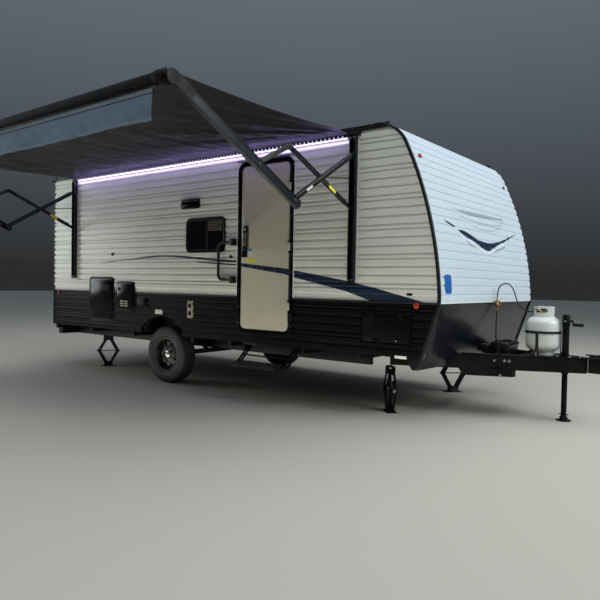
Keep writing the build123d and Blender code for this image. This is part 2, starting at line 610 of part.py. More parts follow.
# ---------------------------------------------------------------- roof units
with BuildPart() as roof_air_conditioner:
    ac_x = body_front - 2950.0
    with BuildSketch(Plane.XY.offset(z_eave)) as s1:
        with Locations((ac_x, 0)):
            RectangleRounded(960, 690, 90)
    with BuildSketch(Plane.XY.offset(z_eave + 230)) as s2:
        with Locations((ac_x, 0)):
            RectangleRounded(960, 690, 90)
    with BuildSketch(Plane.XY.offset(z_eave + 320)) as s3:
        with Locations((ac_x - 25, 0)):
            RectangleRounded(800, 560, 90)
    extrude(s1.sketch, amount=230)
    loft(sections=[s2.sketch, s3.sketch])
save(roof_air_conditioner.part, "roof_air_conditioner")

# columns: x, y, length, width, height
vent_table = (
    (body_front - 1350, 0, 380, 380, 95),
    (body_front - 4950, 120, 380, 380, 95),
    (body_front - 4150, 620, 230, 330, 110),
    (body_front - 5250, -560, 80, 80, 120),
)
with BuildPart() as roof_vents:
    for vx, vy, vl, vw, vh in vent_table:
        slab(Plane.XY.offset(z_eave), vx, vy, vl, vw, 30, vh)
save(roof_vents.part, "roof_vents")

# ---------------------------------------------------------------- lamps and service panels on the walls
with BuildPart() as lamps:
    # side markers, round; columns: x, z
    for mx, mz in ((body_front - 194, 1061), (body_rear + 130, 1050)):
        for s in (-1, 1):
            disc(Plane.XZ.offset(half_w if s < 0 else -half_w - 16), (mx, mz), 26, 16)
    # porch lamp over the window
    slab(Plane.XZ.offset(half_w), body_front - 3070, 2123, 300, 112, 12, 48)
    # tail lamps and the row of small ones on the rear wall; columns: y, z, width, height
    for ly, lz, lw, lh in ((-1030, 1180, 160, 210), (1030, 1180, 160, 210), (-160, 2520, 64, 26), (0, 2520, 64, 26),
                           (160, 2520, 64, 26), (-1080, 2520, 64, 26), (1080, 2520, 64, 26), (560, 1120, 110, 40)):
        slab(Plane.YZ.offset(body_rear), ly, lz, lw, lh, 8, -22)
    # two marker lamps high on the sloping front
    for s in (1, -1):
        pl = Plane(origin=(-1008.0, s * 1060, 2385.6), x_dir=(0, 1, 0), z_dir=(0.91346, 0, 0.40694))
        slab(pl, 0, 0, 66, 30, 8, 14)
save(lamps.part, "lamps")

# columns: side, x centre, z centre, width, height, corner radius, how far proud
panel_table = (
    (-1, body_front - 4790, 985, 560, 590, 50, 24),
    (-1, body_front - 4275, 1035, 380, 373, 40, 30),
    (-1, body_front - 3935, 975, 170, 106, 8, 34),
    (-1, body_front - 3615, 865, 138, 70, 8, 20),
    (-1, body_front - 3060, 913, 104, 192, 8, 10),
    (1, body_front - 4150, 1800, 560, 300, 20, 16),
    (1, body_front - 4150, 900, 560, 380, 20, 16),
    (1, body_front - 5300, 900, 160, 160, 18, 22),
    (1, body_front - 2600, 900, 150, 150, 18, 22),
    (1, body_front - 4750, 820, 160, 110, 18, 22),
)
with BuildPart() as service_panels:
    for s, px, pz, pw, ph, pr, pt in panel_table:
        slab(Plane.XZ.offset(half_w if s < 0 else -half_w - pt), px, pz, pw, ph, pr, pt)
save(service_panels.part, "service_panels")

with BuildPart() as grab_handle:
    hx0, hx1, hz0, hz1 = body_front - 2590, body_front - 2375, 1262.0, 1665.0
    hy = -half_w - 34
    with BuildLine():
        FilletPolyline((hx1, hy, hz0), (hx0, hy, hz0), (hx0, hy, hz1), (hx1, hy, hz1), radius=60)
    with BuildSketch(Plane(origin=(hx1, hy, hz0), z_dir=(-1, 0, 0))):
        Circle(15)
    sweep()
    for hz in (hz0, hz1):
        slab(Plane.XZ.offset(half_w), hx1 + 4, hz, 62, 76, 14, 54)
save(grab_handle.part, "grab_handle")

# ---------------------------------------------------------------- entry step
with BuildPart() as step_bracket:
    block(step_x0 - 44, step_x1 + 44, -1205, -1060, 576, z_skirt)
    for x0 in (step_x0 - 44, step_x1 + 38):
        block(x0, x0 + 6, -1200, -1070, 524, 578)
    for s, x0 in ((1, step_x0 - 38), (-1, step_x1 + 4)):
        for p in (step_pin1, step_pin2):
            disc(Plane.YZ.offset(x0 - (1 if s > 0 else 0)), p, pin_r, 35)
save(step_bracket.part, "step_bracket")


def moved(p):
    return (p[0] + step_reach, p[1] + step_drop)


# layers along X, outboard of each end of the tread: columns: name, pin, near offset, far offset
for name, p, o0, o1 in (("step_arms", step_pin1, 7, 15), ("step_links", step_pin2, 22, 30)):
    with BuildPart() as step_piece:
        for lo in (step_x0 - o1, step_x1 + o0):
            bar(Plane.YZ.offset(lo), p, moved(p), 26, o1 - o0)
            for c in (p, moved(p)):
                disc(Plane.YZ.offset(lo - 1), c, pin_r + pin_gap, o1 - o0 + 2, Mode.SUBTRACT)
        if name == "step_arms":
            # tie rod between the two arms
            mid = (p[0] + 0.45 * step_reach, p[1] + 0.45 * step_drop)
            disc(Plane.YZ.offset(step_x0 - o0 - 0.5), mid, 8, step_x1 - step_x0 + 2 * o0 + 1)
    save(step_piece.part, name)

with BuildPart() as step_tread:
    t1, t2 = moved(step_pin1), moved(step_pin2)
    block(step_x0, step_x1, t1[0] - 110, t2[0] + 30, t1[1] - 16, t1[1] + 22)
    block(step_x0 + 5, step_x1 - 5, t1[0] - 105, t2[0] + 25, t1[1] - 17, t1[1] + 17, Mode.SUBTRACT)
    for p in (t1, t2):
        disc(Plane.YZ.offset(step_x0 - 34), p, pin_r, 39)
        disc(Plane.YZ.offset(step_x1 - 5), p, pin_r, 39)
save(step_tread.part, "step_tread")

# ---------------------------------------------------------------- awning
with BuildPart() as awning_rails:
    for key in ("front", "rear"):
        x, s = awn_x[key], awn_side[key]
        # channel open outwards
        with BuildSketch(Plane.XY.offset(1257)):
            with Locations((x, -(half_w + 30))):
                Rectangle(64, 60)
            with Locations((x, -(half_w + 34))):
                Rectangle(56, 60, mode=Mode.SUBTRACT)
        extrude(amount=2596 - 1257)
        # pin of the upper link, flange to flange
        disc(Plane.YZ.offset(x - 30), pt_A, pin_r, 60)
    # fabric rail along the eave
    block(awn_x["rear"] - 60, awn_x["front"] + 60, -(half_w + 30), -half_w, 2600, 2636)
save(awning_rails.part, "awning_rails")

# links: columns: name, start, end, layer from the rail's middle outwards, width, holes (point, radius), pins (point, from, to)
link_table = (
    ("awning_upper_links", pt_A, pt_E, (7, 19), 34,
     ((pt_A, pin_r + pin_gap),), ((pt_P, -18, 8), (pt_E, 18, 54))),
    ("awning_lower_links", pt_B, pt_F, (-19, -7), 34,
     ((pt_P, pin_r + pin_gap),), ((pt_B, -22, 22), (pt_F, -8, 6))),
    ("awning_short_links", pt_F, pt_M, (-6, 6), 40,
     ((pt_F, pin_r + pin_gap), (pt_M, 14.5)), ()),
)
for name, p0, p1, lay, wd, holes, pins in link_table:
    with BuildPart() as link:
        for key in ("front", "rear"):
            x, s = awn_x[key], awn_side[key]
            pl, th = spans(x, s, lay[0], lay[1])
            bar(pl, p0, p1, wd, th)
            for c, r in holes:
                disc(pl.offset(-1), c, r, th + 2, Mode.SUBTRACT)
            for c, o0, o1 in pins:
                pp, pt = spans(x, s, o0, o1)
                disc(pp, c, pin_r, pt)
    save(link.part, name)

with BuildPart() as awning_main_arms:
    e_low = up(pt_E, awn_g, -50)
    e_high = up(pt_R, awn_g, 30)
    for key in ("front", "rear"):
        x, s = awn_x[key], awn_side[key]
        pl, th = spans(x, s, 36, 60)
        bar(pl, e_low, e_high, 56, th)
        # channel: hollow on its inner side
        pc, tc = spans(x, s, 35, 56)
        bar(pc, up(e_low, awn_g, 60), up(e_high, awn_g, -70), 46, tc, Mode.SUBTRACT)
        for c in (pt_E, pt_R):
            pp, pt = spans(x, s, 35, 61)
            disc(pp, c, pin_r + pin_gap + (2 if c is pt_R else 0), pt, Mode.SUBTRACT)
        # eye pin of the short link, standing inwards from the web
        pp, pt = spans(x, s, -5, 57)
        disc(pp, pt_M, pin_r, pt)
save(awning_main_arms.part, "awning_main_arms")

roll_x0, roll_x1 = awn_x["rear"] - 28, awn_x["front"] + 28
with BuildPart() as awning_roller:
    disc(Plane.YZ.offset(roll_x0), pt_R, roller_r, roll_x1 - roll_x0)
    disc(Plane.YZ.offset(roll_x0 - 30), pt_R, pin_r + 2, roll_x1 - roll_x0 + 60)
save(awning_roller.part, "awning_roller")

can_x0, can_x1 = awn_x["rear"] + 20, awn_x["front"] - 20
with BuildPart() as awning_canopy:
    with BuildSketch(Plane.YZ.offset(can_x0)):
        Polygon((-1248, 2614), (-1248, 2622), (pt_R[0] - 8, pt_R[1] + roller_r + 12), (pt_R[0] - 8, pt_R[1] + roller_r + 4), align=None)
    extrude(amount=can_x1 - can_x0)
save(awning_canopy.part, "awning_canopy")

val_z0 = pt_R[1] - 305.0
with BuildPart() as awning_valance:
    block(can_x0, can_x1, pt_R[0] - roller_r - 10, pt_R[0] - roller_r - 3, val_z0, pt_R[1] - 15)
save(awning_valance.part, "awning_valance")

print(len(made), "nodes")
for nm, p in (("A", pt_A), ("B", pt_B), ("P", pt_P), ("E", pt_E), ("F", pt_F), ("M", pt_M), ("R", pt_R)):
    print(nm, [round(v, 2) for v in p])
print("short link end", [round(v, 2) for v in down(pt_F, awn_h, len_FM)])
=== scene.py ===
import math
import random

import bpy
import bmesh
from mathutils import Matrix, Vector


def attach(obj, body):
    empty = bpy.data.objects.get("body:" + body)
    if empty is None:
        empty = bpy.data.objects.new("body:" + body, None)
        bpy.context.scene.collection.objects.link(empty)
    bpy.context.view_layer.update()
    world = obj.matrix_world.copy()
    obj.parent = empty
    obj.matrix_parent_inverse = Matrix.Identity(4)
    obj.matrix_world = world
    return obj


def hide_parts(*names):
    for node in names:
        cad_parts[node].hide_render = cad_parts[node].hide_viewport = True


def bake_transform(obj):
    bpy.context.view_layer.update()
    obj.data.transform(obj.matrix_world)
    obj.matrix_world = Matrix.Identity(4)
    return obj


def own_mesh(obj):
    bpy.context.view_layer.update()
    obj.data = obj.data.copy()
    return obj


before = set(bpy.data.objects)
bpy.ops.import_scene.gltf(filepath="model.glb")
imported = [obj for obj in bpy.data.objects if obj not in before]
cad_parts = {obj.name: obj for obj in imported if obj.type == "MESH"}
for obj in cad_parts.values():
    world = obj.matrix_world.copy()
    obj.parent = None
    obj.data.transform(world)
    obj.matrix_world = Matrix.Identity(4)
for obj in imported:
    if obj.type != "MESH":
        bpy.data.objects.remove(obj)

SC = bpy.context.scene
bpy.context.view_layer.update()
rnd = random.Random(7)

# ------------------------------------------------------------------ camera
az, el, roll = (math.radians(a) for a in (37.7922, 1.5229, 1.0274))
fwd = Vector((-math.sin(az) * math.cos(el), math.cos(az) * math.cos(el), -math.sin(el)))
right = Vector((math.cos(az), math.sin(az), 0.0))
up = right.cross(fwd)
cam_r = right * math.cos(roll) + up * math.sin(roll)
cam_u = up * math.cos(roll) - right * math.sin(roll)
cam_data = bpy.data.cameras.new("camera_main")
cam_data.sensor_width = 36.0
cam_data.sensor_fit = "HORIZONTAL"
cam_data.lens = 36.489
cam_data.clip_start, cam_data.clip_end = 0.1, 200.0
cam = bpy.data.objects.new("camera_main", cam_data)
cam_m = Matrix.Identity(4)
for i, v in enumerate((cam_r, cam_u, -fwd, Vector((1.5015, -5.9776, 1.2310)))):
    for j in range(3):
        cam_m[j][i] = v[j]
cam.matrix_world = cam_m
SC.collection.objects.link(cam)
SC.camera = cam


# --------------------------------------------------------------- materials
def lin(r, g, b):
    """8 bit display values to linear."""
    out = []
    for c in (r, g, b):
        c /= 255.0
        out.append(c / 12.92 if c <= 0.04045 else ((c + 0.055) / 1.055) ** 2.4)
    return tuple(out) + (1.0,)


class Nodes:
    def __init__(self, name):
        self.mat = bpy.data.materials.new(name)
        self.mat.use_nodes = True
        self.t = self.mat.node_tree
        self.t.nodes.clear()
        self.out = self.t.nodes.new("ShaderNodeOutputMaterial")

    def new(self, kind, **props):
        n = self.t.nodes.new(kind)
        for k, v in props.items():
            if k.startswith("_"):
                setattr(n, k[1:], v)
            else:
                n.inputs[k.replace("__", " ")].default_value = v
        return n

    def link(self, a, b):
        self.t.links.new(a, b)

    def noise(self, vec, scale, detail=3.0, rough=0.55):
        n = self.new("ShaderNodeTexNoise")
        n.inputs["Scale"].default_value = scale
        n.inputs["Detail"].default_value = detail
        n.inputs["Roughness"].default_value = rough
        self.link(vec, n.inputs["Vector"])
        return n.outputs["Fac"]

    def remap(self, fac, a, b, lo, hi):
        n = self.new("ShaderNodeMapRange")
        n.clamp = True
        for k, v in (("From Min", a), ("From Max", b), ("To Min", lo), ("To Max", hi)):
            n.inputs[k].default_value = v
        self.link(fac, n.inputs["Value"])
        return n.outputs["Result"]

    def mix(self, fac, a, b, blend="MIX"):
        n = self.new("ShaderNodeMix")
        n.data_type = "RGBA"
        n.blend_type = blend
        n.clamp_factor = True
        for sock, v in ((n.inputs[0], fac), (n.inputs[6], a), (n.inputs[7], b)):
            if isinstance(v, bpy.types.NodeSocket):
                self.link(v, sock)
            else:
                sock.default_value = v
        return n.outputs[2]

    def math(self, op, a, b=0.0):
        n = self.new("ShaderNodeMath")
        n.operation = op
        for sock, v in ((n.inputs[0], a), (n.inputs[1], b)):
            if isinstance(v, bpy.types.NodeSocket):
                self.link(v, sock)
            else:
                sock.default_value = v
        return n.outputs[0]


def mat(name, rgb, rough=0.5, metal=0.0, vary=0.10, scale=3.0, rvary=0.10, bump=0.0, bscale=120.0,
        bdist=0.002, coat=0.0, spec=0.5, sheen=0.0, dirt=0.0, dirt_rgb=(118, 104, 84), stretch=(1, 1, 1),
        emit=None, strength=0.0, inner=None, wear=0.0, wear_rgb=(120, 116, 110), fine=0.0, aniso=0.0,
        transmission=0.0, ior=1.45, low=None):
    """Procedural finish: slow tone changes, uneven roughness, fine bump, dirt low down and wear in spots."""
    n = Nodes(name)
    co = n.new("ShaderNodeTexCoord").outputs["Object"]
    mp = n.new("ShaderNodeMapping")
    mp.inputs["Scale"].default_value = stretch
    n.link(co, mp.inputs["Vector"])
    vec = mp.outputs["Vector"]
    base = lin(*rgb)
    dark = tuple(c * (1 - vary) for c in base[:3]) + (1.0,)
    light = tuple(min(1.0, c * (1 + 0.6 * vary)) for c in base[:3]) + (1.0,)
    slow = n.noise(vec, scale, 4.0)
    col = n.mix(n.remap(slow, 0.32, 0.68, 0.0, 1.0), dark, light)
    if fine:
        col = n.mix(n.remap(n.noise(vec, bscale * 0.7, 2.0), 0.35, 0.65, 0.0, fine), col,
                    tuple(c * 0.55 for c in base[:3]) + (1.0,))
    if low is not None:
        sep = n.new("ShaderNodeSeparateXYZ")
        n.link(co, sep.inputs[0])
        col = n.mix(n.math("LESS_THAN", sep.outputs[2], low[0]), col, lin(*low[1]))
    if inner is not None:
        sep = n.new("ShaderNodeSeparateXYZ")
        n.link(co, sep.inputs[0])
        inside = n.math("LESS_THAN", n.math("ABSOLUTE", sep.outputs[1]), inner[0])
        col = n.mix(inside, col, n.mix(n.remap(n.noise(co, 14.0, 3.0), 0.4, 0.6, 0.0, 1.0), lin(*inner[1]),
                                       tuple(c * 0.93 for c in lin(*inner[1])[:3]) + (1.0,)))
    if wear:
        w = n.math("MULTIPLY", n.remap(n.noise(co, scale * 9.0, 6.0, 0.7), 0.60, 0.72, 0.0, 1.0), wear)
        col = n.mix(w, col, lin(*wear_rgb))
    if dirt:
        sep = n.new("ShaderNodeSeparateXYZ")
        n.link(co, sep.inputs[0])
        low = n.remap(sep.outputs[2], 0.25, 1.05, 1.0, 0.12)
        d = n.math("MULTIPLY", n.remap(n.noise(co, 5.0, 8.0, 0.68), 0.42, 0.72, 0.0, dirt), low)
        col = n.mix(d, col, lin(*dirt_rgb))
    p = n.new("ShaderNodeBsdfPrincipled")
    p.inputs["Metallic"].default_value = metal
    p.inputs["Specular IOR Level"].default_value = spec
    p.inputs["Coat Weight"].default_value = coat
    p.inputs["Coat Roughness"].default_value = 0.08
    p.inputs["Sheen Weight"].default_value = sheen
    p.inputs["IOR"].default_value = ior
    p.inputs["Transmission Weight"].default_value = transmission
    p.inputs["Anisotropic"].default_value = aniso
    n.link(col, p.inputs["Base Color"])
    rn = n.noise(vec, scale * 4.3, 5.0, 0.62)
    n.link(n.remap(rn, 0.3, 0.7, max(0.02, rough - rvary), min(1.0, rough + rvary)), p.inputs["Roughness"])
    if bump:
        b = n.new("ShaderNodeBump")
        b.inputs["Strength"].default_value = bump
        b.inputs["Distance"].default_value = bdist
        n.link(n.noise(vec, bscale, 3.0), b.inputs["Height"])
        n.link(b.outputs["Normal"], p.inputs["Normal"])
    if emit is not None:
        p.inputs["Emission Color"].default_value = lin(*emit)
        p.inputs["Emission Strength"].default_value = strength
    n.link(p.outputs["BSDF"], n.out.inputs["Surface"])
    return n.mat


M = {}
# one white siding in two tints: slightly warm on the sides as painted ground bounce, cooler blue-white on the front and
# rear as painted sky light
M["siding"] = mat("siding_warm_white_painted_bounce", (222, 223, 214), 0.34, vary=0.03, rvary=0.03, dirt=0.02, low=(1.081, (9, 9, 10)),
                  inner=(1.1765, (206, 198, 182)))
M["siding_cool_painted_light"] = mat("siding_front_painted_sky_tint", (198, 209, 216), 0.34, vary=0.02, rvary=0.02, dirt=0.01)
M["skirt_outer"] = mat("siding_black_rear", (6, 6, 7), 0.38, vary=0.25, bump=0.06, bscale=80, bdist=0.0006, dirt=0.05,
                       dirt_rgb=(40, 38, 34), spec=0.16)
M["siding_skirt"] = mat("siding_black", (6, 6, 7), 0.38, vary=0.25, bump=0.06, bscale=80, bdist=0.0006, dirt=0.05,
                        dirt_rgb=(40, 38, 34), spec=0.16, inner=(1.1765, (190, 182, 166)))
M["nose"] = mat("nose_gloss", (15, 18, 24), 0.24, vary=0.2, rvary=0.04, dirt=0.03, dirt_rgb=(60, 58, 54), spec=0.34)
M["trim"] = mat("trim_black", (8, 8, 9), 0.40, vary=0.25, bump=0.15, bscale=260, bdist=0.0006, wear=0.08,
                wear_rgb=(60, 60, 58), dirt=0.08, spec=0.4)
M["gloss_black"] = mat("gloss_black", (3, 3, 4), 0.20, vary=0.25, rvary=0.05, dirt=0.01, spec=0.20)
M["plastic"] = mat("plastic_black", (6, 6, 7), 0.52, vary=0.2, bump=0.3, bscale=480, bdist=0.0005, dirt=0.05, spec=0.25)
M["frame_steel"] = mat("frame_black", (5, 6, 10), 0.42, vary=0.3, bump=0.30, bscale=170, bdist=0.001, wear=0.15,
                       wear_rgb=(34, 31, 30), dirt=0.04, spec=0.20)
M["rubber"] = mat("rubber", (36, 40, 45), 0.72, vary=0.3, bump=0.35, bscale=300, bdist=0.0008, dirt=0.28,
                  dirt_rgb=(86, 78, 66))
M["wheel"] = mat("wheel_black", (14, 14, 15), 0.30, vary=0.3, bump=0.08, bscale=90, dirt=0.15)
M["chrome"] = mat("chrome", (205, 206, 208), 0.16, metal=1.0, vary=0.08, rvary=0.08, bump=0.04, bscale=60, dirt=0.15)
M["zinc"] = mat("zinc_plate", (150, 151, 150), 0.36, metal=0.95, vary=0.25, rvary=0.14, bump=0.15, bscale=210,
                bdist=0.0006, wear=0.25, wear_rgb=(98, 84, 66))
M["alu"] = mat("aluminium", (176, 180, 182), 0.34, metal=0.85, vary=0.14, rvary=0.12, bump=0.10, bscale=180,
               bdist=0.0005, stretch=(1, 1, 0.15))
M["slate"] = mat("arm_slate", (17, 25, 35), 0.34, metal=0.15, vary=0.16, rvary=0.1, bump=0.12, bscale=240,
                 bdist=0.0006, wear=0.06)
M["arm_black"] = mat("arm_black", (13, 14, 16), 0.32, metal=0.2, vary=0.25, bump=0.12, bscale=240, bdist=0.0006,
                     wear=0.08, wear_rgb=(60, 60, 60))
M["arm_grey"] = mat("arm_grey", (58, 60, 56), 0.36, metal=0.4, vary=0.18, bump=0.12, bscale=240, bdist=0.0006,
                    wear=0.10)
M["arm_green"] = mat("arm_grey_green", (12, 17, 22), 0.36, metal=0.25, vary=0.18, bump=0.12, bscale=240,
                     bdist=0.0006, wear=0.12)
M["gas_white"] = mat("gas_white", (206, 210, 204), 0.32, vary=0.06, coat=0.15, bump=0.18, bscale=46, bdist=0.0012,
                     dirt=0.35, wear=0.18, wear_rgb=(150, 128, 104))
M["strap"] = mat("strap_black", (19, 19, 20), 0.60, vary=0.3, bump=0.5, bscale=420, bdist=0.0006)
M["brass"] = mat("brass", (176, 142, 74), 0.34, metal=0.9, vary=0.2, rvary=0.14, bump=0.12, bscale=160)
M["reg_grey"] = mat("regulator_grey", (92, 96, 98), 0.42, metal=0.5, vary=0.2, bump=0.3, bscale=190)
M["hose"] = mat("hose_black", (7, 7, 8), 0.55, vary=0.25, bump=0.35, bscale=520, bdist=0.0006)
M["battery"] = mat("battery_box", (15, 16, 18), 0.32, vary=0.22, bump=0.35, bscale=520, bdist=0.0006, dirt=0.12)
M["smoke"] = mat("lens_smoke", (54, 50, 66), 0.24, vary=0.1, bump=0.2, bscale=300)
M["lid"] = mat("battery_lid", (14, 17, 22), 0.20, vary=0.2, bump=0.22, bscale=420, bdist=0.0005, dirt=0.2)
M["amber"] = mat("lamp_amber", (200, 58, 16), 0.16, vary=0.2, bump=0.25, bscale=300, transmission=0.25)
M["red"] = mat("lamp_red", (128, 12, 12), 0.16, vary=0.2, bump=0.25, bscale=300, transmission=0.2)
M["clear"] = mat("lamp_clear", (214, 216, 214), 0.20, vary=0.08, bump=0.25, bscale=300, transmission=0.3)
M["seam"] = mat("valance_seam", (30, 38, 48), 0.6, vary=0.1)
M["glass"] = mat("glass_dark", (3, 4, 4), 0.06, vary=0.2, rvary=0.02, bump=0.015, bscale=9, bdist=0.003)
M["blind"] = mat("blind_cream", (122, 112, 86), 0.6, vary=0.1, bump=0.3, bscale=120, stretch=(1, 1, 12))
M["door"] = mat("door_skin", (196, 191, 171), 0.30, vary=0.02, rvary=0.02, dirt=0.01)
M["navy"] = mat("decal_navy", (24, 42, 66), 0.26, vary=0.14, coat=0.1, dirt=0.05)
M["white"] = mat("decal_white", (232, 234, 234), 0.30, vary=0.04)
M["shade"] = mat("decal_shadow", (150, 162, 172), 0.34, vary=0.06)
M["sticker_blue"] = mat("sticker_blue", (36, 96, 172), 0.30, vary=0.12)
M["yellow"] = mat("label_yellow", (226, 220, 66), 0.42, vary=0.08, wear=0.2)
M["pale"] = mat("label_pale", (224, 222, 214), 0.42, vary=0.08, wear=0.15)
M["roof"] = mat("roof_membrane", (222, 222, 218), 0.62, vary=0.08, bump=0.4, bscale=160, bdist=0.001, dirt=0.4,
                dirt_rgb=(140, 134, 120))
M["ac"] = mat("ac_shroud", (214, 214, 210), 0.44, vary=0.06, bump=0.35, bscale=420, bdist=0.0005, dirt=0.3)
M["canopy"] = mat("canopy_cloth", (7, 8, 16), 0.58, vary=0.16, scale=1.3, bump=0.5, bscale=620, bdist=0.0008,
                  sheen=0.01, fine=0.25, spec=0.25)
M["valance"] = mat("valance_cloth", (112, 134, 156), 0.72, vary=0.14, scale=2.0, bump=0.5, bscale=620, bdist=0.0008,
                   sheen=0.12, fine=0.2)
M["valance_band"] = mat("valance_band", (134, 146, 158), 0.70, vary=0.10, bump=0.5, bscale=620, bdist=0.0008)
M["floor_vinyl"] = mat("floor_vinyl", (120, 108, 92), 0.5, vary=0.2, scale=7, bump=0.2, bscale=120)
M["belly"] = mat("underbelly", (28, 28, 30), 0.66, vary=0.3, scale=5, bump=0.5, bscale=60, bdist=0.003, dirt=0.5)
M["tan"] = mat("vent_tan", (158, 150, 134), 0.5, vary=0.12, bump=0.2, bscale=200)
M["outlet"] = mat("outlet_pale", (206, 202, 192), 0.46, vary=0.1, bump=0.2, bscale=200, dirt=0.25)
# glows on the strip's lamp lenses, and on a band on the wall under the strip as a painted light wash
M["led_glow_and_painted_wash"] = mat("led_lens_and_painted_wall_wash", (226, 220, 240), 0.35, vary=0.05, emit=(206, 192, 246), strength=1.15)
M["led"] = mat("led_tube", (244, 240, 255), 0.3, vary=0.05, emit=(206, 190, 255), strength=5.0)
M["teal"] = mat("sticker_teal", (62, 140, 142), 0.4, vary=0.1)


# ------------------------------------------------------------------- cords
def hose(name, points, length, far, exit_at):
    c = bpy.data.curves.new(name, "CURVE")
    c.dimensions = "3D"
    s = c.splines.new("NURBS")
    s.points.add(len(points) - 1)
    for q, p in zip(s.points, points):
        q.co = (p[0] / 1000, p[1] / 1000, p[2] / 1000, 1.0)
    s.order_u = 3
    s.use_endpoint_u = True
    s.resolution_u = 14
    c.bevel_depth = 0.006
    c.bevel_resolution = 5
    c.use_fill_caps = True
    o = bpy.data.objects.new(name, c)
    SC.collection.objects.link(o)
    o.data.materials.append(M["hose"])
    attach(o, "caravan")
    return o


PIGTAIL = [(-673, 56, 1124), (-673, 56, 1205), (-629, 53, 1268), (-553, 45, 1272), (-503, 34, 1210),
           (-477, 24, 1130), (-441, 12, 1058), (-375, 2, 1008), (-311, 0, 1003), (-265, 0, 1003)]
SUPPLY = [(-673, 56, 1016), (-673, 56, 938), (-681, 60, 850), (-679, 58, 760), (-673, 56, 672), (-673, 56, 600)]
pigtail = hose("hose_pigtail", PIGTAIL, 0.6586, "fitting", PIGTAIL[0])
supply = hose("hose_supply", SUPPLY, 0.4165, "object", SUPPLY[0])


# ----------------------------------------------------------- mesh building
def P_right(u, v, d):
    return (u, -(1.215 + d), v)


def P_left(u, v, d):
    return (u, 1.215 + d, v)


def P_rear(u, v, d):
    return (-6.675 - d, u, v)


def P_top(u, v, d):
    return (u, v, 2.680 + d)


FR_X, FR_Z, FR_R = -4.208, 0.960, 3.503     # circle of the front wall
RC_X, RC_Z, RC_R = -1.3601, 2.3427, 0.3373  # roof corner


def front_x(z):
    """Face of the front wall at a height, from the skirt line to the roof corner."""
    if z <= 1.082:
        t = (z - 0.595) / (1.082 - 0.595)
        return -0.864 + t * (0.864 - 0.707)
    if z <= 2.490:
        return FR_X + math.sqrt(FR_R ** 2 - (z - FR_Z) ** 2)
    return RC_X + math.sqrt(max(0.0, RC_R ** 2 - (z - RC_Z) ** 2))


def P_front(u, v, d):
    """u across (y), v height on the face, d out of the face."""
    if v <= 1.082:
        n = Vector((0.952, 0.0, -0.307))
    elif v <= 2.490:
        n = Vector((front_x(v) - FR_X, 0.0, v - FR_Z)).normalized()
    else:
        n = Vector((front_x(v) - RC_X, 0.0, v - RC_Z)).normalized()
    return (front_x(v) + n.x * d, u, v + n.z * d)


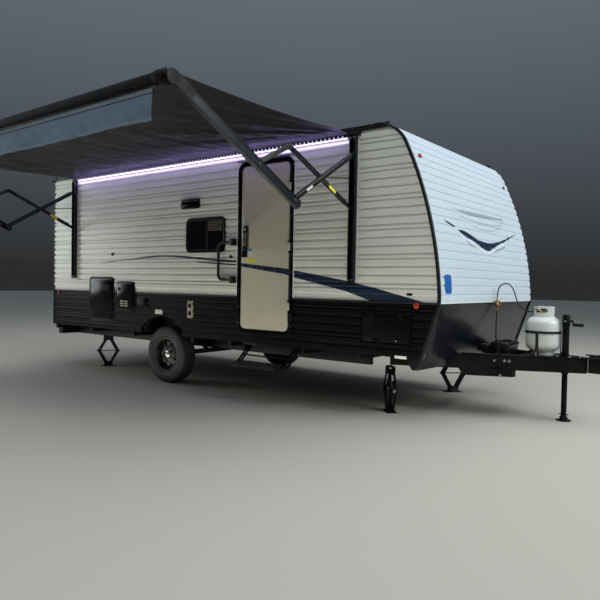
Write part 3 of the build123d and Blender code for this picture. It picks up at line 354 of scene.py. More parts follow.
class Mesher:
    def __init__(self):
        self.v, self.f, self.m, self.mats = [], [], [], []
        self.k = 0

    def use(self, key):
        if key not in self.mats:
            self.mats.append(key)
        self.k = self.mats.index(key)
        return self

    def add(self, verts, faces):
        b = len(self.v)
        self.v += [tuple(p) for p in verts]
        self.f += [tuple(i + b for i in f) for f in faces]
        self.m += [self.k] * len(faces)

    def loft(self, loops, caps=True, wrap=False):
        n, k = len(loops[0]), len(loops)
        verts = [p for lp in loops for p in lp]
        faces = []
        for i in range(k if wrap else k - 1):
            a, b = i * n, ((i + 1) % k) * n
            for j in range(n):
                j2 = (j + 1) % n
                faces.append((a + j, a + j2, b + j2, b + j))
        if caps and not wrap:
            faces.append(tuple(range(n - 1, -1, -1)))
            faces.append(tuple((k - 1) * n + j for j in range(n)))
        self.add(verts, faces)

    def slab(self, P, outline, d0, d1, bevel=0.0):
        loops = [[P(u, v, d0) for u, v in outline]]
        if bevel:
            loops.append([P(u, v, d1 - bevel) for u, v in outline])
            mid = inset(outline, bevel * 0.3)
            loops.append([P(u, v, d1 - bevel * 0.3) for u, v in mid])
            outline = inset(outline, bevel)
        loops.append([P(u, v, d1) for u, v in outline])
        self.loft(loops)

    def ring(self, P, outer, inner, d0, d1, bevel=0.0):
        b = bevel
        loops = [[P(u, v, d0) for u, v in outer], [P(u, v, d1 - b) for u, v in outer]]
        if b:
            loops.append([P(u, v, d1) for u, v in inset(outer, b)])
            loops.append([P(u, v, d1) for u, v in inset(inner, -b)])
        else:
            loops.append([P(u, v, d1) for u, v in inner])
        loops.append([P(u, v, d1 - b) for u, v in inner])
        loops.append([P(u, v, d0) for u, v in inner])
        self.loft(loops, wrap=True)

    def box(self, x0, x1, y0, y1, z0, z1):
        v = [(x, y, z) for z in (z0, z1) for x, y in ((x0, y0), (x1, y0), (x1, y1), (x0, y1))]
        self.add(v, [(3, 2, 1, 0), (4, 5, 6, 7), (0, 1, 5, 4), (1, 2, 6, 5), (2, 3, 7, 6), (3, 0, 4, 7)])

    def lathe(self, profile, origin=(0, 0, 0), axis=(0, 0, 1), n=40, closed=False):
        """profile: (radius, height) pairs along the axis."""
        ax = Vector(axis).normalized()
        a = ax.orthogonal().normalized()
        b = ax.cross(a)
        o = Vector(origin)
        loops = []
        for r, h in profile:
            r = max(r, 1e-5)
            loops.append([o + ax * h + (a * math.cos(t) + b * math.sin(t)) * r
                          for t in (2 * math.pi * i / n for i in range(n))])
        self.loft(loops, wrap=closed)

    def rod(self, p, q, r, n=16):
        p, q = Vector(p), Vector(q)
        c = min(r * 0.15, (q - p).length * 0.2)
        self.lathe([(r - c, 0), (r, c), (r, (q - p).length - c), (r - c, (q - p).length)], p, q - p, n)

    def pipe(self, pts, r, n=12, closed=False):
        pts = [Vector(p) for p in pts]
        k = len(pts)
        loops, frame_a = [], None
        for i, p in enumerate(pts):
            if closed:
                t = (pts[(i + 1) % k] - pts[i - 1]).normalized()
            else:
                t = (pts[min(i + 1, k - 1)] - pts[max(i - 1, 0)]).normalized()
            a = t.orthogonal().normalized() if frame_a is None else (frame_a - t * frame_a.dot(t)).normalized()
            frame_a = a
            b = t.cross(a)
            loops.append([p + (a * math.cos(w) + b * math.sin(w)) * r
                          for w in (2 * math.pi * j / n for j in range(n))])
        self.loft(loops, wrap=closed)

    def bolt(self, p, axis, r=0.009, h=0.007, washer=True):
        """Hexagon head with a washer."""
        ax = Vector(axis).normalized()
        p = Vector(p)
        if washer:
            self.lathe([(r * 1.45, 0), (r * 1.45, r * 0.2), (r * 1.3, r * 0.28)], p, ax, 18)
        a = ax.orthogonal().normalized()
        b = ax.cross(a)
        loops = []
        for rr_, hh in ((r, r * 0.2), (r, h * 0.8), (r * 0.84, h)):
            loops.append([p + ax * hh + (a * math.cos(t) + b * math.sin(t)) * rr_
                          for t in (math.pi / 3 * i for i in range(6))])
        self.loft(loops)

    def make(self, name, body="caravan", slot=None, smooth=None, bevel=0.0, segs=2, replaces=(), weld=False):
        me = bpy.data.meshes.new(name)
        me.from_pydata(self.v, [], self.f)
        for key in self.mats:
            me.materials.append(M[key])
        me.polygons.foreach_set("material_index", self.m)
        bm = bmesh.new()
        bm.from_mesh(me)
        if weld:
            bmesh.ops.remove_doubles(bm, verts=bm.verts, dist=2e-5)
        bmesh.ops.recalc_face_normals(bm, faces=bm.faces)
        bm.to_mesh(me)
        bm.free()
        o = bpy.data.objects.new(name, me)
        SC.collection.objects.link(o)
        if smooth is not None:
            me.shade_smooth()
            me.set_sharp_from_angle(angle=math.radians(smooth))
        if bevel:
            add_bevel(o, bevel, segs)
        if body:
            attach(o, body)
        if replaces:
            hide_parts(*replaces)
        return o


def add_bevel(o, width, segs=2, angle=35):
    m = o.modifiers.new("edge", "BEVEL")
    m.width = width
    m.segments = segs
    m.limit_method = "ANGLE"
    m.angle_limit = math.radians(angle)
    m.use_clamp_overlap = True
    return m


def rr(cu, cv, w, h, r, n=6, cut=None):
    """Rounded rectangle outline, anticlockwise from the lower right corner."""
    r = min(r, w / 2 - 1e-4, h / 2 - 1e-4)
    out = []
    for qx, qy, a0 in ((1, -1, -90), (1, 1, 0), (-1, 1, 90), (-1, -1, 180)):
        for i in range(n + 1):
            t = math.radians(a0 + 90 * i / n)
            out.append((cu + qx * (w / 2 - r) + r * math.cos(t), cv + qy * (h / 2 - r) + r * math.sin(t)))
    return out


def circle(cu, cv, r, n=24, rv=None):
    rv = r if rv is None else rv
    return [(cu + r * math.cos(2 * math.pi * i / n), cv + rv * math.sin(2 * math.pi * i / n)) for i in range(n)]


def inset(outline, t):
    """Moves an anticlockwise outline inwards by t along its corner normals."""
    area = sum(a[0] * b[1] - b[0] * a[1] for a, b in zip(outline, outline[1:] + outline[:1]))
    s = 1.0 if area > 0 else -1.0
    out, n = [], len(outline)
    for i in range(n):
        ax, ay = outline[i - 1]
        bx, by = outline[i]
        cx, cy = outline[(i + 1) % n]
        n1 = Vector((-(by - ay), bx - ax))
        n2 = Vector((-(cy - by), cx - bx))
        if n1.length < 1e-9:
            n1 = n2.copy()
        if n2.length < 1e-9:
            n2 = n1.copy()
        n1.normalize()
        n2.normalize()
        m = n1 + n2
        if m.length < 1e-6:
            m = n1.copy()
        m.normalize()
        k = t / max(0.45, m.dot(n1))
        out.append((bx + s * m.x * k, by + s * m.y * k))
    return out


def boolean(o, cutter, op="DIFFERENCE"):
    """Applies an exact boolean and keeps the result as o's own mesh."""
    m = o.modifiers.new("b", "BOOLEAN")
    m.operation = op
    m.solver = "EXACT"
    m.object = cutter
    dg = bpy.context.evaluated_depsgraph_get()
    me = bpy.data.meshes.new_from_object(o.evaluated_get(dg))
    o.modifiers.remove(m)
    old = o.data
    o.data = me
    bpy.data.meshes.remove(old)
    return o


def temp(mesher, name="cut"):
    o = mesher.make(name, body=None)
    return o


def drop(*objs):
    for o in objs:
        me = o.data
        bpy.data.objects.remove(o)
        bpy.data.meshes.remove(me)


# CAD nodes that stay: welded, softly bevelled and smooth by angle through modifiers
def smooth_group():
    g = bpy.data.node_groups.new("smooth_by_angle", "GeometryNodeTree")
    g.interface.new_socket(name="Geometry", in_out="INPUT", socket_type="NodeSocketGeometry")
    g.interface.new_socket(name="Geometry", in_out="OUTPUT", socket_type="NodeSocketGeometry")
    gi, go = g.nodes.new("NodeGroupInput"), g.nodes.new("NodeGroupOutput")
    a = g.nodes.new("GeometryNodeSetShadeSmooth")
    a.domain = "FACE"
    b = g.nodes.new("GeometryNodeSetShadeSmooth")
    b.domain = "EDGE"
    b.inputs["Shade Smooth"].default_value = False
    e = g.nodes.new("GeometryNodeInputMeshEdgeAngle")
    c = g.nodes.new("FunctionNodeCompare")
    c.data_type = "FLOAT"
    c.operation = "GREATER_THAN"
    c.inputs[1].default_value = math.radians(30)
    g.links.new(gi.outputs[0], a.inputs[0])
    g.links.new(a.outputs[0], b.inputs[0])
    g.links.new(e.outputs["Unsigned Angle"], c.inputs[0])
    g.links.new(c.outputs[0], b.inputs["Selection"])
    g.links.new(b.outputs[0], go.inputs[0])
    return g


SMOOTH = smooth_group()


def dress(node, key, bevel=0.0, smooth=True):
    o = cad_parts[node]
    o.data.materials.clear()
    o.data.materials.append(M[key])
    w = o.modifiers.new("weld", "WELD")
    w.merge_threshold = 2e-5
    if bevel:
        add_bevel(o, bevel, 2)
    if smooth:
        s = o.modifiers.new("smooth", "NODES")
        s.node_group = SMOOTH
    return o

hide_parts("gas_pigtail")
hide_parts("gas_supply_hose")

# ------------------------------------------------------------ ribbed siding
WIDE, NARROW = 0.048, 0.019
RIBS_UPPER = [(2.617, WIDE), (2.544, NARROW)]
for base in (2.507, 2.245, 1.983, 1.721, 1.459, 1.197):
    for down, width in ((0.0, WIDE), (0.0755, WIDE), (0.1515, WIDE), (0.225, NARROW)):
        if base - down > 1.10:
            RIBS_UPPER.append((base - down, width))
RIBS_SKIRT = [(1.035, NARROW), (0.997, WIDE), (0.922, WIDE), (0.847, WIDE), (0.773, NARROW), (0.735, WIDE),
              (0.660, WIDE)]


def rib_profile(ribs, z0, z1, lift=0.0, low=0.0015, high=0.0112):
    """(height, depth) outline of a ribbed sheet from z0 up to z1."""
    pts = [(z0, low)]
    for top, width in sorted(ribs):
        lo, hi = top - width, top
        if lo - 0.004 <= pts[-1][0] or hi + 0.005 >= z1:
            continue
        pts += [(lo - 0.0025, low), (lo - 0.0010, low + 0.0016), (lo + 0.0008, high - 0.0010), (lo + 0.0026, high),
                (hi - 0.0040, high), (hi - 0.0015, high - 0.0010), (hi + 0.0022, low + 0.0008), (hi + 0.0045, low)]
    pts.append((z1, low))
    return [(z, d + lift) for z, d in pts]


def plate(P, prof, u0, u1, back=-0.002):
    """Closed ribbed plate between u0 and u1."""
    sec = prof + [(prof[-1][0], back), (prof[0][0], back)]
    m = Mesher()
    m.loft([[P(u, z, d) for z, d in sec] for u in (u0, u1)])
    return m


def side_cut(poly, s, d0=-0.02, d1=0.05):
    """Prism over an (x, z) outline across the wall's face."""
    m = Mesher()
    P = P_right if s < 0 else P_left
    m.loft([[P(u, v, d) for u, v in poly] for d in (d0, d1)])
    return m


def body_outline(z0, z1, inset_=0.002):
    pts = [(-6.675, z0), (front_x(z0) - inset_, z0)]
    z = z0
    while z < z1 - 1e-6:
        z = min(z1, (1.082 if z < 1.082 - 1e-6 else z + 0.03))
        pts.append((front_x(z) - inset_, z))
    pts.append((-6.675, z1))
    return pts


def arch_outline(grow=0.0):
    hw, zt, zs = 0.372 + grow, 0.815 + grow, 0.665
    h = zt - zs
    r = (hw * hw + h * h) / (2 * h)
    a = math.asin(min(1.0, hw / r))
    pts = [(-4.293 - hw, 0.55), (-4.293 + hw, 0.55)]
    for i in range(17):
        t = a - 2 * a * i / 16
        pts.append((-4.293 + r * math.sin(t), zt - r + r * math.cos(t)))
    return pts


DOOR = (-2.662, 1.6005, 0.762, 1.821)      # centre x, centre z, width, height of the frame outside
STORE = (-1.207, 0.839, 0.514, 0.282)
WINDOWS = {"R": [(-3.5445, 1.761, 0.629, 0.390)], "L": [(-2.470, 1.730, 1.06, 0.56), (-5.670, 1.800, 0.64, 0.40)]}


def wall_cutters(s):
    out = []
    for cx, cz, w, h in WINDOWS["R" if s < 0 else "L"]:
        out.append(rr(cx, cz, w - 0.014, h - 0.014, 0.066))
    if s < 0:
        out.append(rr(DOOR[0], DOOR[1], DOOR[2] - 0.014, DOOR[3] - 0.014, 0.10))
    out.append(rr(STORE[0], STORE[1], STORE[2] + 0.012, STORE[3] + 0.012, 0.016))
    out.append(arch_outline(0.0))
    if s < 0:                                                           # behind the awning's rails
        for x in (-1.572, -6.121):
            out.append(rr(x, 1.9265, 0.062, 1.337, 0.004, 2))
        out.append(rr(-3.8465, 2.6200, 4.666, 0.036, 0.004, 2))
    return out


def join_cutters(polys, s):
    m = Mesher()
    P = P_right if s < 0 else P_left
    for poly in polys:
        m.loft([[P(u, v, d) for u, v in poly] for d in (-0.02, 0.05)])
    return m


for s, tag, P in ((-1, "right", P_right), (1, "left", P_left)):
    cutter = temp(join_cutters(wall_cutters(s), s))
    for part, ribs, z0, z1, key, slot_ in (("upper", RIBS_UPPER, 1.082, 2.632, "siding", "siding_light"),
                                           ("skirt", RIBS_SKIRT, 0.597, 1.080, "siding_skirt", "storage_dark")):
        pm = plate(P, rib_profile(ribs, z0, z1), -6.672, -0.66)
        pm.mats = [key]
        o = pm.make(f"siding_{tag}_{part}")
        lim = temp(side_cut(body_outline(z0 - 0.001, z1 + 0.001), s))
        boolean(o, lim, "INTERSECT")
        drop(lim)
        boolean(o, cutter)
    drop(cutter)

# rear wall
cutter = Mesher()
cutter.loft([[P_rear(u, v, d) for u, v in rr(0, 1.860, 0.746, 0.406, 0.066)] for d in (-0.02, 0.05)])
cutter = temp(cutter)
for part, ribs, z0, z1, key, slot_ in (("upper", RIBS_UPPER, 1.082, 2.632, "siding_cool_painted_light", "siding_light"),
                                       ("skirt", RIBS_SKIRT, 0.597, 1.080, "skirt_outer", "storage_dark")):
    pm = plate(P_rear, rib_profile(ribs, z0, z1), -1.211, 1.211)
    pm.mats = [key]
    o = pm.make(f"siding_rear_{part}")
    if part == "upper":
        boolean(o, cutter)
drop(cutter)


# front wall: long smooth laps with a shallow groove between them
def front_profile(lift=0.0, z0=1.090, z1=2.672):
    pts, arc, z = [(z0, 0.004 + lift)], 0.0, z0
    nxt = 0.052
    step = 0.0045
    while z < z1:
        x = front_x(z)
        z2 = min(z1, z + step)
        arc += math.hypot(front_x(z2) - x, z2 - z)
        z = z2
        if arc >= nxt and z < z1 - 0.03:
            pts += [(z, 0.0098 + lift), (z + 0.0040, 0.0030 + lift), (z + 0.0100, 0.0010 + lift),
                    (z + 0.0150, 0.0018 + lift), (z + 0.0200, 0.0082 + lift)]
            z += 0.0202
            nxt += 0.0775
            arc += 0.0202
        elif len(pts) < 2 or z - pts[-1][0] > 0.017:
            pts.append((z, 0.0100 + lift))
    return pts


FRONT = front_profile()
# the back follows the face, so that the plate stays thin on the curve
pm = Mesher().use("siding_cool_painted_light")
sec = FRONT + [(z, -0.002) for z, _ in reversed(FRONT)]
pm.loft([[P_front(u, z, d) for z, d in sec] for u in (-1.204, 1.204)])
o = pm.make("siding_front_upper")


# ------------------------------------------------------------------ decals
def front_decal(name, polys, key, lift=0.0008, z_lo=1.10, z_hi=2.2):
    prof = [(z, d) for z, d in FRONT if z_lo <= z <= z_hi]
    sec = [(z, d + lift) for z, d in prof] + [(z, d - 0.0006) for z, d in reversed(prof)]
    ys = [p[0] for poly in polys for p in poly]
    m = Mesher().use(key)
    n = 12
    lo, hi = min(ys) - 0.01, max(ys) + 0.01
    m.loft([[P_front(lo + (hi - lo) * i / n, z, d) for z, d in sec] for i in range(n + 1)])
    o = m.make(name)
    c = Mesher()
    for poly in polys:
        c.loft([[(x, y, z) for y, z in poly] for x in (-1.7, -0.5)])
    c = temp(c)
    boolean(o, c, "INTERSECT")
    drop(c)
    return o


def ribbon(line, width, ends=True):
    """Outline of a band of given widths along a centre line of points."""
    ws = width if isinstance(width, (list, tuple)) else [width] * len(line)
    a, b = [], []
    for i, (x, z) in enumerate(line):
        p, q = line[max(0, i - 1)], line[min(len(line) - 1, i + 1)]
        t = Vector((q[0] - p[0], q[1] - p[1])).normalized()
        a.append((x - t.y * ws[i] / 2, z + t.x * ws[i] / 2))
        b.append((x + t.y * ws[i] / 2, z - t.x * ws[i] / 2))
    return a + b[::-1]


def spline(pts, k=6):
    """Catmull-Rom points through a line."""
    out = []
    for i in range(len(pts) - 1):
        p0, p1 = pts[max(0, i - 1)], pts[i]
        p2, p3 = pts[i + 1], pts[min(len(pts) - 1, i + 2)]
        for j in range(k):
            t = j / k
            out.append(tuple(0.5 * (2 * b + (c - a) * t + (2 * a - 5 * b + 4 * c - d) * t * t
                                    + (3 * b - a - 3 * c + d) * t ** 3) for a, b, c, d in zip(p0, p1, p2, p3)))
    out.append(pts[-1])
    return out


WING_TOP = spline([(-0.7, 1.752), (-0.549, 1.753), (-0.337, 1.711), (-0.225, 1.69), (-0.043, 1.674), (0.09, 1.677),
                   (0.309, 1.701), (0.599, 1.759)], 4)
WING_BOTTOM = spline([(0.561, 1.726), (0.293, 1.668), (-0.008, 1.591), (-0.248, 1.641), (-0.425, 1.682),
                      (-0.595, 1.715), (-0.67, 1.743)], 4)
front_decal("decal_front_wing", [WING_TOP + WING_BOTTOM], "navy")
front_decal("decal_front_wing_tips", [
    [(-0.961, 1.822), (-0.884, 1.81), (-0.703, 1.777), (-0.789, 1.774), (-0.908, 1.797)],
    [(0.607, 1.760), (0.955, 1.835), (0.744, 1.776), (0.609, 1.736)]], "navy")
front_decal("decal_front_border", [ribbon(spline([(-0.62, 1.712), (-0.538, 1.684), (-0.367, 1.644), (-0.017, 1.569),
                                                  (0.28, 1.641), (0.573, 1.712)], 4), 0.012)], "white", 0.0010)
front_decal("decal_front_shadows", [
    [(-0.531, 1.667), (-0.382, 1.622), (-0.263, 1.600), (-0.400, 1.612), (-0.523, 1.652)],
    [(-0.019, 1.558), (0.271, 1.621), (0.515, 1.680), (0.500, 1.649), (0.262, 1.600)],
    [(-0.687, 1.952), (-0.192, 1.962), (0.613, 1.973), (0.608, 1.951), (0.105, 1.93), (-0.339, 1.923),
     (-0.559, 1.939)]], "shade", 0.0007)
front_decal("decal_front_arcs", [
    ribbon(spline([(-0.575, 1.888), (-0.367, 1.877), (-0.097, 1.868), (0.13, 1.866), (0.342, 1.875), (0.503, 1.899),
                   (0.606, 1.939)], 4), 0.009),
    ribbon(spline([(-0.339, 1.823), (-0.166, 1.804), (0.023, 1.8), (0.196, 1.809), (0.393, 1.844), (0.535, 1.893)], 4),
           0.008)], "shade", 0.0007)
m = Mesher().use("sticker_blue")
m.slab(P_front, rr(-1.048, 1.250, 0.135, 0.165, 0.030), 0.0060, 0.0122, 0.0004)
m.make("sticker_front_plain")


def side_decal(name, polys, s, key, ribs, z0, z1, lift=0.0008):
    P = P_right if s < 0 else P_left
    prof = rib_profile(ribs, 1.082, 2.632) if z0 >= 1.08 else rib_profile(ribs, 0.597, 1.080)
    prof = [(z, d) for z, d in prof if z0 <= z <= z1]
    sec = [(z, d + lift) for z, d in prof] + [(z, d - 0.0006) for z, d in reversed(prof)]
    m = Mesher().use(key)
    m.loft([[P(u, z, d) for z, d in sec] for u in (-6.60, -0.70)])
    o = m.make(name)
    for mesher, op in ((join_cutters(polys, s), "INTERSECT"), (join_cutters(
            [rr(DOOR[0], DOOR[1], DOOR[2] - 0.014, DOOR[3] - 0.014, 0.10)] if s < 0 else
            [rr(cx, cz, w, h, 0.07) for cx, cz, w, h in WINDOWS["L"]], s), "DIFFERENCE")):
        c = temp(mesher)
        boolean(o, c, op)
        drop(c)
    return o


LINE_A = spline([(x - 0.720, z) for x, z in ((-4.83, 1.464), (-4.253, 1.497), (-3.725, 1.530), (-3.351, 1.529),
                                             (-2.914, 1.498), (-2.587, 1.473), (-2.316, 1.457))], 5)
LINE_B = spline([(x - 0.720, z) for x, z in ((-2.976, 1.460), (-2.708, 1.443), (-2.315, 1.423))], 5)
BAND_TOP = [(x - 0.720, z) for x, z in ((-2.34, 1.450), (-2.26, 1.440), (-1.659, 1.383), (-1.576, 1.369),
                                        (-0.889, 1.262), (-0.594, 1.202), (-0.134, 1.092))]
BAND_LOW = [(x - 0.720, z) for x, z in ((-0.150, 1.0855), (-0.640, 1.0855), (-0.687, 1.095), (-0.926, 1.170),
                                        (-1.575, 1.300), (-1.658, 1.324), (-2.259, 1.403), (-2.34, 1.412))]
widths = [0.005 + 0.017 * min(1.0, i / 10) for i in range(len(LINE_A))]
for s in (-1, 1):
    tag = "right" if s < 0 else "left"
    side_decal(f"decal_{tag}_lines", [ribbon(LINE_A, widths), ribbon(LINE_B, [0.005 + 0.010 * min(1, i / 5) for i in
                                                                              range(len(LINE_B))])],
               s, "navy", RIBS_UPPER, 1.40, 1.58)
    side_decal(f"decal_{tag}_band", [BAND_TOP + BAND_LOW], s, "navy", RIBS_UPPER, 1.082, 1.50)


# ----------------------------------------------------- nose panel and trims
def sweep(m, path, section):
    """Lofts a section along a path of (point, axis a, axis b); section is (a, b) offsets."""
    m.loft([[p + a * u + b * v for u, v in section] for p, a, b in path])


# smooth one-piece nose: down the slope, turned under below the floor, with rounded edges
NOSE = [(-0.712, 1.086), (-0.7085, 1.083), (-0.7180, 1.045), (-0.7440, 0.960), (-0.7750, 0.865), (-0.8060, 0.770),
        (-0.8370, 0.678), (-0.8600, 0.610), (-0.8820, 0.560), (-0.9080, 0.518), (-0.9260, 0.497), (-0.9420, 0.491),
        (-0.9580, 0.497), (-0.9760, 0.522), (-1.0110, 0.584)]
m = Mesher().use("nose")
nose = spline(NOSE, 4)
loops = []
for i in range(41):
    y = -1.2 + 2.4 * i / 40
    e = max(0.0, abs(y) - 1.150) / 0.050
    bow = 0.010 * (1 - (y / 1.2) ** 2) - 0.012 * e * e
    outer, inner = [], []
    for j, (x, z) in enumerate(nose):
        a, b = nose[max(0, j - 1)], nose[min(len(nose) - 1, j + 1)]
        t = Vector((b[0] - a[0], b[1] - a[1])).normalized()
        nx, nz = -t.y, t.x
        fade = min(1.0, max(0.0, (1.08 - z) / 0.10))
        outer.append((x + nx * (0.004 + bow * fade), y, z + nz * (0.004 + bow * fade)))
        inner.append((x - nx * 0.003, y, z - nz * 0.003))
    loops.append(outer + inner[::-1])
m.loft(loops)
m.make("nose_panel", slot="nose_dark", smooth=45)
m = Mesher().use("nose")
for s in (-1, 1):
    lip = [(x - 0.002, z + 0.002) for x, z in nose if z < 0.60] + [(-1.011, 0.600), (-0.870, 0.600)]
    m.loft([[(x, s * y, z) for x, z in lip] for y in (1.186, 1.197)])
m.make("nose_lip_ends", slot="nose_dark")


def outline_path(s):
    """Points of the body's front edge from the skirt's foot to the roof, with outward normals."""
    pts = []
    n = Vector((0.952, 0.0, -0.307))
    pts += [(Vector((-0.864, 0, 0.596)), n), (Vector((-0.7902, 0, 0.825)), n), (Vector((-0.712, 0, 1.068)), n)]
    for i in range(1, 25):
        z = 1.082 + (2.490 - 1.082) * i / 24
        x = front_x(z)
        pts.append((Vector((x, 0, z)), Vector((x - FR_X, 0, z - FR_Z)).normalized()))
    a0 = math.atan2(2.490 - RC_Z, -1.0567 - RC_X)
    for i in range(1, 11):
        a = a0 + (math.pi / 2 - a0) * i / 10
        pts.append((Vector((RC_X + RC_R * math.cos(a), 0, RC_Z + RC_R * math.sin(a))),
                    Vector((math.cos(a), 0, math.sin(a)))))
    return pts


def edge_trim(m, pts, s, side_w=0.011, face_w=0.014, proud=0.0140):
    Y = Vector((0, s, 0))
    sec = [(-side_w, 1.214), (-side_w, 1.215 + proud - 0.002), (-side_w + 0.002, 1.215 + proud),
           (proud - 0.006, 1.215 + proud), (proud - 0.002, 1.215 + proud - 0.002), (proud, 1.215 + proud - 0.006),
           (proud, 1.215 - face_w + 0.002), (proud - 0.002, 1.215 - face_w), (-0.001, 1.215 - face_w), (-0.001, 1.214)]
    sweep(m, [(p, n, Y) for p, n in pts], sec)


m = Mesher().use("trim")
for s in (-1, 1):
    edge_trim(m, outline_path(s), s)
    rear = [(Vector((-6.675, 0, z)), Vector((-1, 0, 0))) for z in (0.597, 1.2, 1.9, 2.618)]
    rear += [(Vector((-6.615 - 0.06 * math.cos(a), 0, 2.620 + 0.06 * math.sin(a))),
              Vector((-math.cos(a), 0, math.sin(a)))) for a in (math.pi / 2 * i / 6 for i in range(1, 7))]
    edge_trim(m, rear, s, 0.016, 0.022)
m.make("trim_corners", slot="black_plastic", smooth=32)

# sealant beads that close the ribs off beside the rails and the door frame
m = Mesher().use("white")
for xa, xb, za, zb in ((-1.5405, -1.5335, 1.262, 2.598), (-1.6105, -1.6035, 1.262, 2.598), (-6.0895, -6.0825, 1.262, 2.598),
                       (-6.1595, -6.1525, 1.262, 2.598), (-2.2790, -2.2690, 1.092, 2.440), (-3.0550, -3.0450, 1.092, 2.440)):
    m.loft([[P_right(x, z, d) for x, d in ((xa, 0.0), (xa, 0.0118), (xa + 0.001, 0.0124), (xb - 0.001, 0.0124), (xb, 0.0118), (xb, 0.0))]
            for z in (za, zb)])
m.make("wall_sealant_beads", slot="siding_light", smooth=35)

# screw covers: the soft insert bead along the front corners
m = Mesher().use("rubber")
for s in (-1, 1):
    sweep(m, [(p, n, Vector((0, s, 0))) for p, n in outline_path(s)],
          [(0.0135, 1.2055), (0.0149, 1.2065), (0.0153, 1.2090), (0.0149, 1.2115), (0.0135, 1.2125)])
m.make("trim_corner_inserts", slot="black_plastic", smooth=40)

# gutters: an upturned channel on both sides with a spout at each end
m = Mesher().use("trim")
GUT = [(0.000, 2.640), (0.0135, 2.634), (0.0215, 2.640), (0.0235, 2.654), (0.0205, 2.656), (0.0165, 2.646),
       (0.0060, 2.646), (0.0045, 2.660), (0.0060, 2.6865), (-0.028, 2.6895), (-0.028, 2.6805), (-0.002, 2.6805)]
for s in (-1, 1):
    P = P_right if s < 0 else P_left
    m.loft([[P(x, z, d) for d, z in GUT] for x in (-6.640, -5.2, -3.6, -2.2, -1.225)])
    for x0, x1 in ((-1.225, -1.165), (-6.640, -6.700)):
        loops = []
        for k, (x, drop_z, out_) in enumerate(((x0, 0.0, 0.0), ((x0 + x1) / 2, -0.004, 0.010), (x1, -0.018, 0.022))):
            loops.append([P(x, z - 0.001 + drop_z, d + out_) for d, z in ((0.004, 2.640), (0.020, 2.636),
                                                                         (0.024, 2.650), (0.016, 2.644),
                                                                         (0.008, 2.650))])
        m.loft(loops)
m.make("gutters", slot="black_plastic", smooth=35)

# belt trim between siding and skirt, and the cover strip over the nose panel's top edge
m = Mesher().use("trim")
for s in (-1, 1):
    P = P_right if s < 0 else P_left
    spans = [(-6.662, -3.047), (-2.277, -0.716)] if s < 0 else [(-6.662, -0.716)]
    for a, b in spans:
        m.loft([[P(x, z, d) for d, z in ((0.0, 1.0735), (0.0115, 1.0745), (0.0135, 1.0775), (0.0135, 1.0855),
                                         (0.0110, 1.0885), (0.0, 1.0895))] for x in (a, b)])
m.loft([[P_rear(y, z, d) for d, z in ((0.0, 1.0735), (0.0115, 1.0745), (0.0135, 1.0775), (0.0135, 1.0855),
                                      (0.0110, 1.0885), (0.0, 1.0895))] for y in (-1.19, 1.19)])
m.make("belt_trim", slot="black_plastic", smooth=30)
m = Mesher().use("white")
m.loft([[Vector((x, y, z)) for x, z in ((-0.7095, 1.080), (-0.7020, 1.0815), (-0.7000, 1.0870), (-0.7010, 1.0960),
                                        (-0.7040, 1.0990), (-0.7120, 1.0990))] for y in (-1.190, 1.190)])
m.make("nose_cover_strip", slot="siding_light", smooth=30)

# screws of the trims
m = Mesher().use("zinc")
for s in (-1, 1):
    P = P_right if s < 0 else P_left
    for i in range(28):
        x = -6.55 + i * 0.198
        m.lathe([(0.0045, 0.0), (0.0045, 0.0012), (0.0030, 0.0024)], P(x, 2.6755, 0.0052), (0, s, 0), 8)
m.make("trim_screws", slot="galvanised", smooth=40)

# roof: coil joints and sealant round every fitting, over the membrane
m = Mesher().use("roof")
for cx, cy, w, l in ((-3.67, 0, 1.02, 0.75), (-2.07, 0, 0.44, 0.44), (-5.67, 0.12, 0.44, 0.44), (-4.87, 0.62, 0.29, 0.39),
                     (-5.97, -0.56, 0.15, 0.15)):
    m.slab(P_top, rr(cx, cy, w, l, 0.03), -0.001, 0.0035, 0.0015)
for x in (-1.42, -6.58):
    m.slab(P_top, rr(x, 0, 0.10, 2.36, 0.02), -0.001, 0.0040, 0.0015)
m.make("roof_sealant", slot="roof_skin", smooth=40)

# ------------------------------------------------ CAD nodes that stay shown
dress("right_wall", "siding")
dress("left_wall", "siding")
dress("rear_wall", "siding")
dress("front_wall", "siding")
dress("nose_cap", "nose")
dress("roof", "roof")
dress("floor_deck", "floor_vinyl")
dress("wheel_arches", "plastic", 0.002)
dress("window_frames", "gloss_black", 0.0015)
dress("window_glass", "glass")
dress("door_frame", "gloss_black", 0.0015)
dress("chassis_rails", "frame_steel", 0.003)
dress("chassis_crossmembers", "frame_steel", 0.002)
dress("tongue_frame", "frame_steel", 0.003)
dress("coupler", "frame_steel", 0.002)
dress("jack_tube", "frame_steel", 0.001)
dress("jack_leg", "frame_steel", 0.001)
dress("axle", "frame_steel", 0.0015)
dress("stabiliser_jacks", "frame_steel", 0.0015)
dress("grab_handle", "trim", 0.001)
dress("step_bracket", "frame_steel", 0.0012)
dress("step_arms", "frame_steel", 0.0012)
dress("step_links", "frame_steel", 0.0012)
dress("step_tread", "frame_steel", 0.0015)
dress("awning_rails", "arm_black", 0.0015)
dress("entry_door", "door", 0.0015)
dress("storage_door_right", "siding_skirt", 0.0015)
dress("storage_door_left", "siding_skirt", 0.0015)


# ---------------------------------------------------------- windows detail
def louvre(m, P, cu, cv, w, h, n, d0, d1, key="plastic", tilt=0.6):
    """Row of tilted slats inside an opening of w by h."""
    m.use(key)
    pitch = h / n
    for i in range(n):
        v = cv - h / 2 + pitch * (i + 0.5)
        sec = [(v + pitch * 0.42, d0), (v + pitch * 0.50, d0 + 0.001), (v - pitch * tilt * 0.5, d1),
               (v - pitch * tilt * 0.5 - 0.0016, d1 - 0.0010)]
        m.loft([[P(u, z, d) for z, d in sec] for u in (cu - w / 2, cu + w / 2)])


